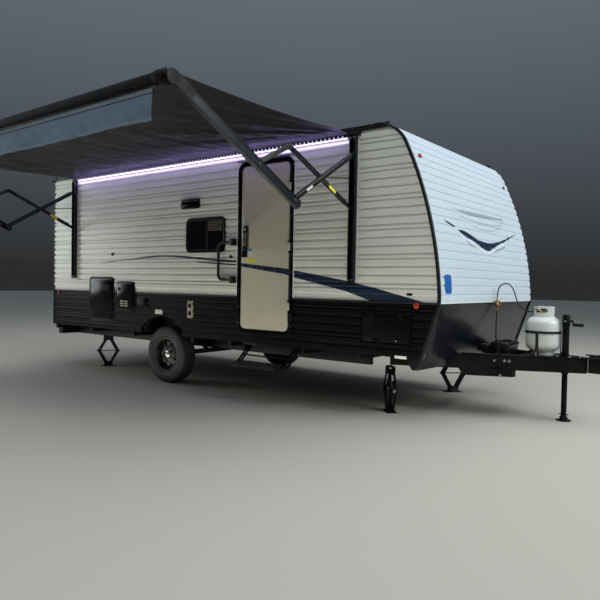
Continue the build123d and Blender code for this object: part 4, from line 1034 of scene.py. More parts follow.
def window(name, P, cu, cv, w, h, slider=0.0, blinds=None):
    m = Mesher().use("rubber")
    iw, ih = w - 0.052, h - 0.052
    m.ring(P, rr(cu, cv, iw + 0.003, ih + 0.003, 0.046), rr(cu, cv, iw - 0.014, ih - 0.014, 0.040), 0.0075, 0.0112, 0.0012)
    m.use("plastic")
    m.slab(P, rr(cu + slider, cv, 0.014, ih - 0.012, 0.004, 3), 0.0060, 0.0092, 0.0010)
    m.slab(P, rr(cu + slider + 0.016, cv, 0.006, ih - 0.014, 0.003, 3), 0.0060, 0.0086, 0.0008)
    m.use("gloss_black")
    m.ring(P, rr(cu, cv, w + 0.0075, h + 0.0075, 0.0735), rr(cu, cv, w - 0.022, h - 0.022, 0.062), 0.000, 0.0170, 0.0030)
    for k in (-1, 1):                                                   # weep slots with their hoods
        m.use("plastic").slab(P, rr(cu + k * w * 0.28, cv - h / 2 + 0.013, 0.030, 0.008, 0.002, 3), 0.013, 0.0172, 0.001)
    m.use("plastic").lathe([(0.006, 0), (0.006, 0.004), (0.004, 0.006)], P(cu + slider + 0.016, cv - 0.03, 0.012),
                        Vector(P(0, 0, 1)) - Vector(P(0, 0, 0)), 12)
    m.make(name, slot="black_plastic", smooth=35)
    if blinds:
        m = Mesher().use("blind")
        x0, x1, z0, z1, n = blinds
        for i in range(n):
            z = z0 + (z1 - z0) * (i + 0.5) / n
            t = (z1 - z0) / n * 0.20
            m.loft([[P(u, z + a, d) for a, d in ((-t, 0.0081), (t, 0.0081), (t * 0.7, 0.0088), (-t * 0.7, 0.0088))]
                    for u in (x0, x1)])
        m.make(name + "_blind")


window("window_right", P_right, -3.5445, 1.761, 0.629, 0.390, 0.02, (-3.500, -3.285, 1.800, 1.935, 8))
window("window_left_front", P_left, -2.470, 1.730, 1.06, 0.56, 0.0)
window("window_left_rear", P_left, -5.670, 1.800, 0.64, 0.40, 0.0)
window("window_rear", P_rear, 0.0, 1.860, 0.76, 0.42, 0.0)

# -------------------------------------------------------------- entry door
def on_line(line, x):
    pts = sorted(line)
    for a, b in zip(pts, pts[1:]):
        if a[0] <= x <= b[0]:
            return a[1] + (b[1] - a[1]) * (x - a[0]) / (b[0] - a[0])
    return pts[0][1] if x < pts[0][0] else pts[-1][1]


DX0, DX1 = -2.9905, -2.3335
xs = [DX0 + (DX1 - DX0) * i / 14 for i in range(15)]
m = Mesher().use("navy")
m.loft([[P_right(x, z, d) for x, z in [(x, on_line(BAND_TOP, x)) for x in xs]
         + [(x, on_line(BAND_LOW, x)) for x in reversed(xs)]] for d in (0.0086, 0.0098)])
m.make("decal_door_band", body="entry_door")

m = Mesher().use("rubber")
m.ring(P_right, rr(-2.662, 1.6005, 0.6640, 1.7230, 0.060), rr(-2.662, 1.6005, 0.6500, 1.7090, 0.053), 0.004, 0.0108, 0.001)
m.make("door_seal", body="entry_door", slot="black_plastic", smooth=35)

m = Mesher().use("gloss_black")
m.slab(P_right, rr(-2.923, 1.705, 0.0715, 0.2615, 0.018), 0.0085, 0.0240, 0.004)
m.use("plastic").slab(P_right, rr(-2.915, 1.690, 0.0315, 0.1315, 0.014), 0.0230, 0.0462, 0.006)
m.use("rubber").slab(P_right, rr(-2.915, 1.690, 0.052, 0.150, 0.012), 0.0238, 0.0252, 0.0006)
m.use("chrome").lathe([(0.015, 0), (0.015, 0.006), (0.013, 0.008), (0.0085, 0.008), (0.0085, 0.011), (0.004, 0.012)],
                      P_right(-2.923, 1.800, 0.0238), (0, -1, 0), 24)
m.use("zinc")
for z in (1.590, 1.826):
    m.lathe([(0.0045, 0), (0.0045, 0.0012), (0.003, 0.002)], P_right(-2.944, z, 0.0238), (0, -1, 0), 10)
m.use("gloss_black").slab(P_right, rr(-2.941, 1.555, 0.080, 0.108, 0.010), 0.0085, 0.0150, 0.002)
for i in range(5):
    m.use("reg_grey").slab(P_right, rr(-2.941 + 0.013 * (i - 2), 1.578, 0.009, 0.009, 0.002, 3), 0.0148, 0.0166, 0.0006)
m.use("teal").slab(P_right, rr(-2.860, 1.580, 0.040, 0.030, 0.004), 0.0085, 0.0096)
m.use("pale").slab(P_right, rr(-2.860, 1.545, 0.040, 0.036, 0.004), 0.0085, 0.0096)
m.use("yellow").slab(P_right, rr(-2.840, 1.470, 0.140, 0.040, 0.003), 0.0085, 0.0096)
m.make("door_latch_and_labels", body="entry_door", slot="black_plastic", smooth=35)

# hinges: knuckles in turn on the door and on the frame
for part, body, odd in (("frame", "caravan", 0), ("door", "entry_door", 1)):
    m = Mesher().use("trim")
    for z in (0.900, 1.600, 2.300):
        for k in range(5):
            if k % 2 == odd:
                a = z - 0.045 + k * 0.018
                m.lathe([(0.0055, 0.0004), (0.0065, 0.0015), (0.0065, 0.0165), (0.0055, 0.0176)], (-2.318, -1.242, a),
                        (0, 0, 1), 16)
        if odd == 0:
            m.slab(P_right, rr(-2.2975, z, 0.026, 0.088, 0.003, 3), 0.0135, 0.0175, 0.0008)
            m.box(-2.3185, -2.300, -1.2355, -1.2320, z - 0.044, z - 0.028)
            m.box(-2.3185, -2.300, -1.2355, -1.2320, z + 0.028, z + 0.044)
            m.use("zinc")
            for dz in (-0.032, 0.0, 0.032):
                m.lathe([(0.004, 0), (0.004, 0.0008), (0.002, 0.0016)], P_right(-2.2945, z + dz, 0.0174), (0, -1, 0), 8)
            m.use("trim")
    m.make(f"hinge_{part}_knuckles", body=body, slot="black_plastic", smooth=40)

# frame screws and drip cap above the door
m = Mesher().use("zinc")
for i in range(10):
    z = 0.80 + i * 0.18
    for x in (-3.0205, -2.3035):
        if x > -2.5 and min(abs(z - q) for q in (0.9, 1.6, 2.3)) < 0.06:
            continue
        m.lathe([(0.004, 0), (0.004, 0.0010), (0.0025, 0.0018)], P_right(x, z, 0.0138), (0, -1, 0), 8)
m.use("trim")
m.loft([[P_right(x, z, d) for d, z in ((0.0, 2.524), (0.020, 2.518), (0.024, 2.521), (0.022, 2.526), (0.0, 2.534))]
        for x in (-3.055, -2.269)])
m.make("door_frame_screws", slot="galvanised", smooth=35)

# ----------------------------------------------------------- storage doors
for s, body in ((-1, "storage_door_right"), (1, "storage_door_left")):
    P = P_right if s < 0 else P_left
    m = Mesher().use("siding_skirt")
    m.slab(P, [(-1.440, 0.722), (-0.974, 0.722), (-0.974, 0.925), (-1.006, 0.957), (-1.408, 0.957), (-1.440, 0.925)],
           0.0140, 0.0172, 0.0015)
    m.use("plastic")
    m.slab(P, rr(-1.324, 0.738, 0.040, 0.026, 0.006), 0.0150, 0.0215, 0.0015)
    m.slab(P, rr(-1.100, 0.742, 0.034, 0.034, 0.010), 0.0150, 0.0205, 0.0015)
    n = (0, s, 0)
    m.use("chrome").lathe([(0.009, 0), (0.009, 0.003), (0.006, 0.0045), (0.003, 0.0045)], P(-1.100, 0.742, 0.0203), n, 20)
    m.slab(P, rr(-1.324, 0.738, 0.012, 0.020, 0.003, 3), 0.0212, 0.0240, 0.0008)
    m.make(f"{body}_panel", body=body, slot="storage_dark", smooth=35)
    m = Mesher().use("trim")
    m.loft([[P(x, z, d) for d, z in ((0.001, 0.992), (0.0185, 0.9895), (0.0215, 0.984), (0.0235, 0.985),
                                     (0.0205, 0.992), (0.001, 0.997))] for x in (-1.478, -0.936)])
    m.make(f"{body}_drip_cap", slot="black_plastic", smooth=35)

# ---------------------------------------------------------- service panels
def hatch(m, P, cu, cv, w, h, r, proud, key, ring_key=None, ring_w=0.030):
    m.use(ring_key or key)
    m.slab(P, rr(cu, cv, w, h, r), 0.0, proud * 0.55, 0.003)
    m.use(key)
    m.slab(P, rr(cu, cv, w - 2 * ring_w, h - 2 * ring_w, max(0.004, r - ring_w * 0.6)), proud * 0.5, proud, 0.005)


m = Mesher()
hatch(m, P_right, -5.510, 0.985, 0.560, 0.590, 0.060, 0.024, "gloss_black", "plastic", 0.028)
m.use("zinc").slab(P_right, rr(-5.510, 0.728, 0.026, 0.014, 0.004), 0.012, 0.0235, 0.001)
for k in range(4):
    m.use("plastic").slab(P_right, rr(-5.40, 1.16 - 0.018 * k, 0.16, 0.008, 0.0035, 3), 0.0232, 0.0256, 0.0008)
hatch(m, P_right, -4.995, 1.035, 0.380, 0.373, 0.045, 0.030, "gloss_black", "plastic", 0.022)
for cx in (-5.039, -4.956):
    for cz in (0.912, 0.941, 0.970):
        m.use("plastic").ring(P_right, rr(cx, cz, 0.076, 0.022, 0.008), rr(cx, cz, 0.068, 0.014, 0.005), 0.029, 0.0335, 0.0008)
        m.use("outlet").slab(P_right, rr(cx, cz, 0.067, 0.013, 0.004), 0.0290, 0.0318, 0.0006)
m.use("rubber").lathe([(0.022, 0), (0.022, 0.010), (0.016, 0.012), (0.016, 0.004)], P_right(-5.10, 1.125, 0.029), (0, -1, 0), 24)
hatch(m, P_right, -4.655, 0.975, 0.170, 0.106, 0.010, 0.034, "plastic", None, 0.010)
m.use("rubber").slab(P_right, rr(-4.655, 0.975, 0.100, 0.050, 0.006), 0.0335, 0.0362, 0.0008)
hatch(m, P_right, -4.335, 0.865, 0.138, 0.070, 0.010, 0.020, "outlet", None, 0.008)
m.use("plastic").slab(P_right, rr(-4.335, 0.897, 0.120, 0.004, 0.0015, 2), 0.018, 0.0215, 0.0006)
hatch(m, P_right, -3.780, 0.913, 0.104, 0.205, 0.010, 0.0185, "tan", None, 0.006)
for z in (0.955, 0.870):
    m.use("plastic").lathe([(0.026, 0), (0.026, 0.004), (0.021, 0.006), (0.017, 0.003), (0.004, 0.003)],
                           P_right(-3.780, z, 0.0180), (0, -1, 0), 28)
for cz, h, key in ((1.800, 0.300, "ac"), (0.900, 0.380, "plastic")):
    m.use(key)
    m.ring(P_left, rr(-4.870, cz, 0.560, h, 0.020), rr(-4.870, cz, 0.500, h - 0.060, 0.010), 0.0, 0.016, 0.003)
    m.use("rubber").slab(P_left, rr(-4.870, cz, 0.502, h - 0.058, 0.010), 0.0, 0.002)
    louvre(m, P_left, -4.870, cz, 0.498, h - 0.062, int(h / 0.030), 0.003, 0.0155, key)
for cx, cz, w, h in ((-6.020, 0.900, 0.160, 0.160), (-3.320, 0.900, 0.150, 0.150), (-5.470, 0.820, 0.160, 0.110)):
    hatch(m, P_left, cx, cz, w, h, 0.018, 0.022, "plastic", None, 0.012)
    m.use("zinc").lathe([(0.008, 0), (0.008, 0.004), (0.005, 0.005)], P_left(cx, cz - h * 0.28, 0.0215), (0, 1, 0), 16)
m.make("service_panel_covers", slot="black_plastic", smooth=35, replaces=("service_panels",))

# black rounds and plates on the right wall
m = Mesher().use("plastic")
m.slab(P_right, circle(-5.276, 1.570, 0.030, 24, 0.020), 0.004, 0.013, 0.002)
m.lathe([(0.019, 0), (0.019, 0.008), (0.015, 0.010), (0.011, 0.007)], P_right(-3.146, 1.513, 0.004), (0, -1, 0), 24)
m.slab(P_right, circle(-0.984, 1.156, 0.034, 24, 0.0125), 0.004, 0.012, 0.002)
m.use("pale").slab(P_right, rr(-1.0575, 0.591 + 0.012, 0.118, 0.030, 0.004), 0.0060, 0.0108, 0.0008)
m.make("wall_small_fittings", slot="black_plastic", smooth=35)

# ------------------------------------------------------------------- lamps
m = Mesher()
for s, P in ((-1, P_right), (1, P_left)):
    for (cx, cz), key in (((-0.914, 1.061), "amber"), ((-6.545, 1.050), "red")):
        n = (0, s, 0)
        m.use("plastic").lathe([(0.030, 0.0), (0.030, 0.007), (0.027, 0.009)], P(cx, cz, 0.002), n, 32)
        m.use(key).lathe([(0.0265, 0.006), (0.0265, 0.011), (0.0225, 0.0150), (0.0120, 0.0172), (0.0, 0.0178)],
                         P(cx, cz, 0.002), n, 32)
m.use("plastic").slab(P_right, rr(-3.790, 2.123, 0.300, 0.112, 0.022), 0.0, 0.026, 0.005)
m.use("gloss_black").slab(P_right, rr(-3.790, 2.108, 0.276, 0.078, 0.018), 0.024, 0.046, 0.009)
m.use("smoke").slab(P_right, rr(-3.790, 2.158, 0.270, 0.026, 0.008), 0.024, 0.040, 0.005)
for y in (-1.030, 1.030):
    m.use("plastic").slab(P_rear, rr(y, 1.180, 0.166, 0.216, 0.024), 0.0, 0.012, 0.003)
    m.use("red").slab(P_rear, rr(y, 1.216, 0.150, 0.128, 0.020), 0.010, 0.024, 0.004)
    m.use("clear").slab(P_rear, rr(y, 1.115, 0.150, 0.060, 0.014), 0.010, 0.022, 0.004)
for y in (-1.08, -0.16, 0.0, 0.16, 1.08):
    m.use("plastic").slab(P_rear, rr(y, 2.520, 0.068, 0.030, 0.008), 0.0, 0.010, 0.002)
    m.use("red").slab(P_rear, rr(y, 2.520, 0.058, 0.020, 0.007), 0.009, 0.022, 0.004)
m.use("plastic").slab(P_rear, rr(0.56, 1.120, 0.110, 0.040, 0.010), 0.0, 0.022, 0.004)
m.use("clear").slab(P_rear, rr(0.56, 1.1035, 0.060, 0.012, 0.004), 0.012, 0.0235, 0.001)
m.use("pale").slab(P_rear, rr(0.56, 0.985, 0.305, 0.155, 0.012), 0.0085, 0.0115, 0.0008)
m.use("trim").ring(P_rear, rr(0.56, 0.985, 0.325, 0.175, 0.016), rr(0.56, 0.985, 0.295, 0.145, 0.010), 0.007, 0.0135, 0.0012)
ax = Vector((0.91346, 0.0, 0.40694))
tv = Vector((-0.40694, 0.0, 0.91346))
for y in (-1.06, 1.06):
    o_ = Vector((-1.0080, y, 2.3856))

    def Pm(u, v, d, o_=o_):
        return o_ + Vector((0, u, 0)) + tv * v + ax * d

    m.use("plastic").slab(Pm, rr(0, 0, 0.074, 0.038, 0.012), -0.003, 0.008, 0.002)
    m.use("amber").slab(Pm, rr(0, 0, 0.062, 0.026, 0.011), 0.006, 0.0165, 0.004)
m.make("lamp_units", slot="lens_red", smooth=35, replaces=("lamps",))

# ------------------------------------------------------------ roof fittings
m = Mesher().use("ac")
cx, cy, W, D_ = -3.67, 0.0, 0.96, 0.69
loops = []
for w, l, d, r in ((0.86, 0.58, 0.000, 0.10), (0.90, 0.62, 0.030, 0.11), (0.955, 0.685, 0.050, 0.13),
                   (0.96, 0.69, 0.075, 0.14), (0.95, 0.68, 0.200, 0.15), (0.93, 0.66, 0.262, 0.15),
                   (0.89, 0.62, 0.296, 0.15), (0.82, 0.55, 0.314, 0.14), (0.70, 0.43, 0.320, 0.12)):
    loops.append([P_top(u, v, d) for u, v in rr(cx, cy, w, l, r, 8)])
m.loft(loops)
for k in range(9):                                                       # grille at the tail of the shroud
    v = -0.24 + k * 0.06
    m.use("plastic").slab(lambda u, w_, d: (cx - W / 2 + 0.004 - d, u, w_), rr(v, 2.68 + 0.150, 0.030, 0.10, 0.010),
                          -0.004, 0.0035, 0.001)
for s in (-1, 1):
    for k in range(7):
        m.slab(lambda u, w_, d, s=s: (u, s * (D_ / 2 - 0.004 + d), w_), rr(cx - 0.27 + 0.09 * k, 2.68 + 0.135, 0.055,
                                                                         0.080, 0.010), -0.004, 0.0030, 0.001)
m.use("ac").slab(P_top, rr(cx + 0.16, cy, 0.36, 0.30, 0.05), 0.3165, 0.3195, 0.001)
m.make("roof_unit_shroud", slot="unit_white", smooth=38, replaces=("roof_air_conditioner",))

m = Mesher()
for cx, cy, w, l, h in ((-2.07, 0.0, 0.38, 0.38, 0.095), (-5.67, 0.12, 0.38, 0.38, 0.095), (-4.87, 0.62, 0.23, 0.33, 0.11)):
    m.use("ac").slab(P_top, rr(cx, cy, w, l, 0.02), 0.0, 0.010, 0.002)
    m.slab(P_top, rr(cx, cy, w - 0.05, l - 0.05, 0.02), 0.008, h * 0.55, 0.002)
    m.use("plastic" if h < 0.1 else "ac")
    m.loft([[P_top(u, v, d) for u, v in rr(cx, cy, w - q, l - q, 0.04, 6)] for q, d in
            ((0.020, h * 0.50), (0.014, h * 0.60), (0.030, h * 0.84), (0.090, h * 0.97), (0.170, h))])
    m.use("zinc")
    for i in (-1, 1):
        for j in (-1, 1):
            m.lathe([(0.005, 0), (0.005, 0.0015), (0.003, 0.003)], P_top(cx + i * (w / 2 - 0.012), cy + j * (l / 2 - 0.012), 0.0098),
                    (0, 0, 1), 8)
m.use("plastic").lathe([(0.038, 0), (0.038, 0.008), (0.024, 0.014), (0.022, 0.085), (0.034, 0.090), (0.036, 0.112),
                        (0.028, 0.120)], P_top(-5.97, -0.56, 0), (0, 0, 1), 28)
m.make("roof_vent_lids", slot="unit_white", smooth=35, replaces=("roof_vents",))


# ------------------------------------------------------------------ wheels
WX, WZ, R_T = -4.293, 0.345, 0.345
for s, tag in ((-1, "right"), (1, "left")):
    body = f"wheel_{tag}"
    o_ = Vector((WX, s * 1.060, WZ))
    ax = Vector((0, s, 0))
    prof = [(0.186, 0.070), (0.190, 0.0765), (0.2010, 0.0800), (0.2060, 0.0860), (0.2160, 0.0905), (0.2180, 0.0935),
            (0.2250, 0.0935), (0.2270, 0.0950), (0.2560, 0.1005), (0.2580, 0.1018), (0.2680, 0.1018), (0.2700, 0.1008),
            (0.2950, 0.0985), (0.2970, 0.0992), (0.3060, 0.0978), (0.3080, 0.0966), (0.3220, 0.0915), (0.3310, 0.0860),
            (0.3345, 0.0795), (0.3375, 0.0600), (0.3385, 0.0300), (0.3388, 0.0000)]
    full = prof + [(r, -h) for r, h in reversed(prof[:-1])]
    m = Mesher().use("rubber")
    m.lathe(full, o_, ax, 96, closed=True)
    n = 64
    a = ax.orthogonal().normalized()
    b = ax.cross(a)
    for row, (h0, h1) in enumerate(((-0.0850, -0.0570), (-0.0500, -0.0190), (-0.0130, 0.0130), (0.0190, 0.0500),
                                    (0.0570, 0.0850))):
        for i in range(n):
            t0 = 2 * math.pi * (i + 0.5 * (row % 2)) / n
            t1 = t0 + 2 * math.pi / n * 0.84
            skew = 0.010 * (1 if row % 2 else -1)
            loops = []
            for lift, ins in ((-0.004, 0.0), (0.0048, 0.0), (0.0062, 0.0012)):
                lp = []
                for t, h in ((t0 + ins * 3, h0 + ins), ((t0 + t1) / 2, h0 + ins), (t1 - ins * 3, h0 + ins),
                             (t1 - ins * 3 + skew, h1 - ins), ((t0 + t1) / 2 + skew, h1 - ins), (t0 + ins * 3 + skew, h1 - ins)):
                    r = 0.3385 + lift - 0.0085 * (abs(h) / 0.085) ** 3
                    lp.append(o_ + ax * h + (a * math.cos(t) + b * math.sin(t)) * r)
                loops.append(lp)
            m.loft(loops)
    for i in range(n):                                                  # shoulder lugs
        for sd in (-1, 1):
            t0 = 2 * math.pi * (i + 0.1) / n
            t1 = t0 + 2 * math.pi / n * 0.6
            lp = [[o_ + ax * (sd * h) + (a * math.cos(t) + b * math.sin(t)) * r for r, h in
                   ((0.3050, 0.0960), (0.3060, 0.0990), (0.3230, 0.0935), (0.3330, 0.0860), (0.3280, 0.0840))]
                  for t in (t0, t1)]
            m.loft(lp)
    m.make(f"tyre_{tag}_tread", body=body, slot="tyre", smooth=35, replaces=(f"tyre_{tag}",))

    m = Mesher().use("wheel")
    barrel = [(0.1900, 0.0760), (0.1975, 0.0765), (0.1990, 0.0790), (0.1975, 0.0815), (0.1880, 0.0800), (0.1850, 0.0760),
              (0.1830, 0.0600), (0.1760, 0.0500), (0.1750, 0.0100), (0.1750, -0.0700), (0.1860, -0.0800),
              (0.1975, -0.0815), (0.1990, -0.0790), (0.1900, -0.0760), (0.1880, -0.0500), (0.1800, -0.0300), (0.1800, 0.0300),
              (0.1880, 0.0600)]
    m.lathe(barrel, o_, ax, 72, closed=True)
    m.make(f"rim_{tag}_barrel", body=body, slot="wheel_black", smooth=35, replaces=(f"rim_{tag}",))
    m = Mesher().use("wheel")
    disc = [(0.0500, 0.0330), (0.0640, 0.0330), (0.0780, 0.0300), (0.0900, 0.0360), (0.1000, 0.0440), (0.1180, 0.0450),
            (0.1500, 0.0380), (0.1680, 0.0280), (0.1770, 0.0200), (0.1770, 0.0150), (0.1670, 0.0220), (0.1490, 0.0315),
            (0.1180, 0.0385), (0.1010, 0.0375), (0.0920, 0.0300), (0.0790, 0.0235), (0.0640, 0.0265), (0.0500, 0.0265)]
    m.lathe(disc, o_, ax, 96, closed=True)
    o = m.make(f"rim_{tag}_disc", body=None)
    c = Mesher()
    for k in range(8):
        t = math.pi / 4 * (k + 0.5)
        c.lathe([(0.0215, -0.02), (0.0215, 0.08)], o_ + (a * math.cos(t) + b * math.sin(t)) * 0.132, ax, 24)
    c = temp(c)
    boolean(o, c)
    drop(c)
    o.data.shade_smooth()
    o.data.set_sharp_from_angle(angle=math.radians(30))
    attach(o, body)
    m = Mesher().use("chrome")
    m.lathe([(0.0455, 0.0200), (0.0455, 0.0390), (0.0440, 0.0410), (0.0430, 0.0560), (0.0400, 0.0620), (0.0300, 0.0665),
             (0.0140, 0.0685), (0.0, 0.0690)], o_, ax, 48)
    m.use("zinc")
    for k in range(5):
        t = 2 * math.pi * k / 5
        p = o_ + (a * math.cos(t) + b * math.sin(t)) * 0.0620 + ax * 0.0325
        m.bolt(p, ax, 0.0105, 0.018, washer=True)
        m.lathe([(0.0062, 0.016), (0.0062, 0.021), (0.005, 0.022)], p, ax, 12)
    t = 0.6
    p = o_ + (a * math.cos(t) + b * math.sin(t)) * 0.168 + ax * 0.030
    m.use("rubber").rod(p, p + ax * 0.030 + (a * math.cos(t) + b * math.sin(t)) * -0.006, 0.0045, 12)
    m.make(f"hub_{tag}_cap", body=body, slot="galvanised", smooth=35)

# ------------------------------------------------------------ gas cylinder
GX, GZ = -0.203, 0.603
m = Mesher().use("gas_white")
body_p = [(0.0, 0.0330), (0.060, 0.0330)]
for i in range(9):
    t = math.pi / 2 * i / 8
    body_p.append((0.078 + 0.077 * math.sin(t), 0.105 - 0.072 * math.cos(t)))
body_p += [(0.1550, 0.1700), (0.1550, 0.1925), (0.1568, 0.1940), (0.1575, 0.1965), (0.1568, 0.1990), (0.1550, 0.2005),
           (0.1550, 0.2600)]
for i in range(1, 11):
    t = math.pi / 2 * i / 10
    body_p.append((0.040 + 0.115 * math.cos(t), 0.285 + 0.083 * math.sin(t)))
body_p += [(0.030, 0.3690), (0.0280, 0.3760), (0.0, 0.3780)]
m.lathe(body_p, (GX, 0, GZ), (0, 0, 1), 72)
m.lathe([(0.1010, 0.0000), (0.1045, 0.0010), (0.1050, 0.0060), (0.1025, 0.0090), (0.1020, 0.0460), (0.0990, 0.0460),
         (0.0990, 0.0090), (0.0985, 0.0020)], (GX, 0, GZ), (0, 0, 1), 64, closed=True)
m.make("gas_cylinder_shell", slot="gas_white", smooth=35, replaces=("gas_cylinder",))
m = Mesher().use("gas_white")
m.lathe([(0.0905, 0.335), (0.0945, 0.335), (0.0945, 0.446), (0.0968, 0.450), (0.0960, 0.4545), (0.0925, 0.4550),
         (0.0905, 0.451)], (GX, 0, GZ), (0, 0, 1), 96, closed=True)
o = m.make("gas_cylinder_collar", body=None)
c = Mesher()
PX = lambda u, v, d: (GX + u, d, GZ + v)
c.loft([[PX(u, v, d) for u, v in rr(0, 0.417, 0.116, 0.038, 0.018, 5)] for d in (-0.12, 0.12)])
c.loft([[(GX - d, u, GZ + v) for u, v in rr(0, 0.430, 0.124, 0.116, 0.025, 5)] for d in (0.05, 0.12)])
c = temp(c)
boolean(o, c)
drop(c)
o.data.shade_smooth()
o.data.set_sharp_from_angle(angle=math.radians(35))
add_bevel(o, 0.0006, 1)
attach(o, "caravan")
m = Mesher().use("brass")
m.lathe([(0.017, 0.366), (0.017, 0.384), (0.0135, 0.388), (0.0135, 0.416), (0.010, 0.420), (0.010, 0.424)], (GX, 0, GZ),
        (0, 0, 1), 24)
m.lathe([(0.0125, 0.0), (0.0125, 0.034), (0.0110, 0.037)], (GX - 0.008, 0, GZ + 0.400), (-1, 0, 0), 24)
m.bolt((GX + 0.012, 0, GZ + 0.398), (1, 0, 0), 0.008, 0.010, washer=False)
m.use("plastic").lathe([(0.0145, 0.0), (0.0175, 0.002), (0.0175, 0.020), (0.0120, 0.025)], (GX - 0.036, 0, GZ + 0.400), (-1, 0, 0), 20)
kn = []
for i in range(60):
    t = 2 * math.pi * i / 60
    kn.append(0.0225 + 0.0018 * math.cos(t * 12))
m.loft([[(GX + math.cos(2 * math.pi * i / 60) * kn[i] * q, math.sin(2 * math.pi * i / 60) * kn[i] * q, GZ + h)
         for i in range(60)] for q, h in ((0.75, 0.422), (1.0, 0.425), (1.0, 0.437), (0.85, 0.4405), (0.4, 0.4395))])
m.make("gas_cylinder_valve", slot="brass", smooth=35)
m = Mesher().use("strap")
m.lathe([(0.1556, 0.2040), (0.1612, 0.2040), (0.1620, 0.2050), (0.1620, 0.2265), (0.1612, 0.2275), (0.1556, 0.2275)], (GX, 0, GZ),
        (0, 0, 1), 72, closed=True)
for ang in (-94.0, 26.0, 146.0):
    t = math.radians(ang)
    er, et = Vector((math.cos(t), math.sin(t), 0)), Vector((-math.sin(t), math.cos(t), 0))
    m.loft([[Vector((GX, 0, GZ)) + er * w + et * q + Vector((0, 0, z)) for w, q in
             ((0.1562, -0.013), (0.1612, -0.013), (0.1612, 0.013), (0.1562, 0.013))] for z in (0.0, 0.2060)])
m.make("cylinder_strap_bands", slot="black_plastic", smooth=35, replaces=("cylinder_strap",))
m = Mesher().use("trim")
for ang in (-94.0, 26.0, 146.0):
    t = math.radians(ang)
    er = Vector((math.cos(t), math.sin(t), 0))
    et = Vector((-math.sin(t), math.cos(t), 0))
    p = Vector((GX, 0, 0.6035)) + er * 0.160
    m.use("zinc").lathe([(0.014, 0), (0.014, 0.0022), (0.007, 0.003), (0.007, 0.020), (0.0045, 0.021), (0.0045, 0.034)],
                        p + er * 0.012, (0, 0, 1), 16)
    m.use("plastic")
    for k in (-1, 1):
        m.loft([[p + er * 0.012 + et * (k * q) + Vector((0, 0, z)) + er * w for w, z in
                 ((-0.003, 0.010), (0.003, 0.010), (0.003, 0.024), (-0.003, 0.024))] for q in (0.004, 0.020)])
m.use("zinc").box(GX - 0.1660, GX - 0.1600, -0.020, 0.020, 0.806, 0.832)
m.use("zinc").box(GX - 0.1685, GX - 0.1655, -0.008, 0.008, 0.810, 0.828)
m.make("cylinder_wing_nuts", slot="galvanised", smooth=35, bevel=0.0008)

# ------------------------------------------------------------- battery box
m = Mesher().use("battery")
Pz = lambda u, v, d: (u, v, d)
m.loft([[Pz(u, v, z) for u, v in rr(-0.566, 0, w, l, 0.016, 4)] for w, l, z in
        ((0.150, 0.292, 0.4685), (0.154, 0.296, 0.476), (0.166, 0.308, 0.655), (0.168, 0.310, 0.668))])
for k in range(7):
    y = -0.126 + 0.042 * k
    for x in (-0.6475, -0.4845):
        m.loft([[(x + q, y + w, z) for w in (-0.006, 0.006) for q in ((-0.0035, 0.0025) if w < 0 else (0.0025, -0.0035))]
                for z in (0.485, 0.655)])
m.make("battery_case", slot="black_plastic", smooth=35, bevel=0.001, replaces=("battery_box",))
m = Mesher().use("lid")
m.loft([[Pz(u, v, z) for u, v in rr(-0.566, 0, w, l, 0.022, 6)] for w, l, z in
        ((0.180, 0.326, 0.666), (0.1835, 0.3295, 0.668), (0.1835, 0.3295, 0.684), (0.176, 0.322, 0.695), (0.160, 0.306, 0.7015),
         (0.120, 0.270, 0.7035))])
for k in range(5):
    m.slab(lambda u, v, d: (u, v, 0.7015 + d), rr(-0.620 + 0.0, -0.08 + 0.04 * k, 0.030, 0.016, 0.005, 3), 0.0, 0.0035, 0.001)
    m.slab(lambda u, v, d: (u, v, 0.7015 + d), rr(-0.512, -0.08 + 0.04 * k, 0.030, 0.016, 0.005, 3), 0.0, 0.0035, 0.001)
m.make("battery_lid", slot="black_plastic", smooth=35)
m = Mesher().use("battery")
m.loft([[Pz(u, v, z) for u, v in rr(-0.735, -0.060, w, l, 0.012, 4)] for w, l, z in
        ((0.104, 0.150, 0.6010), (0.110, 0.156, 0.6050), (0.110, 0.156, 0.6500), (0.100, 0.146, 0.6600))])
m.use("reg_grey").slab(lambda u, v, d: (u, v, 0.6590 + d), rr(-0.735, -0.060, 0.060, 0.090, 0.006, 3), 0.0, 0.012, 0.002)
m.use("hose")
m.pipe([(-0.690, -0.030, 0.640), (-0.668, -0.020, 0.690), (-0.640, -0.010, 0.712), (-0.610, 0.000, 0.7060)], 0.0050, 8)
m.pipe([(-0.760, -0.130, 0.630), (-0.750, -0.160, 0.612), (-0.700, -0.200, 0.6065), (-0.640, -0.215, 0.6065)], 0.0045, 8)
m.make("wiring_junction_box", slot="black_plastic", smooth=35)
m = Mesher().use("strap")
band = [(-0.169, 0.478), (-0.169, 0.690), (-0.164, 0.7005), (-0.150, 0.7055), (0.150, 0.7055), (0.164, 0.7005),
        (0.169, 0.690), (0.169, 0.478)]
loops = []
for i, (y, z) in enumerate(band):
    p, q = band[max(0, i - 1)], band[min(len(band) - 1, i + 1)]
    t = Vector((q[0] - p[0], q[1] - p[1])).normalized()
    loops.append([(x, y + -t.y * d * 1.0, z + t.x * d) for x, d in ((-0.588, 0), (-0.548, 0), (-0.548, 0.0018), (-0.588, 0.0018))])
m.loft(loops)
m.use("plastic").slab(lambda u, v, d: (u, v, 0.7065 + d), rr(-0.568, 0.070, 0.056, 0.046, 0.006, 3), 0.0, 0.008, 0.002)
m.make("battery_strap", slot="black_plastic", smooth=35)

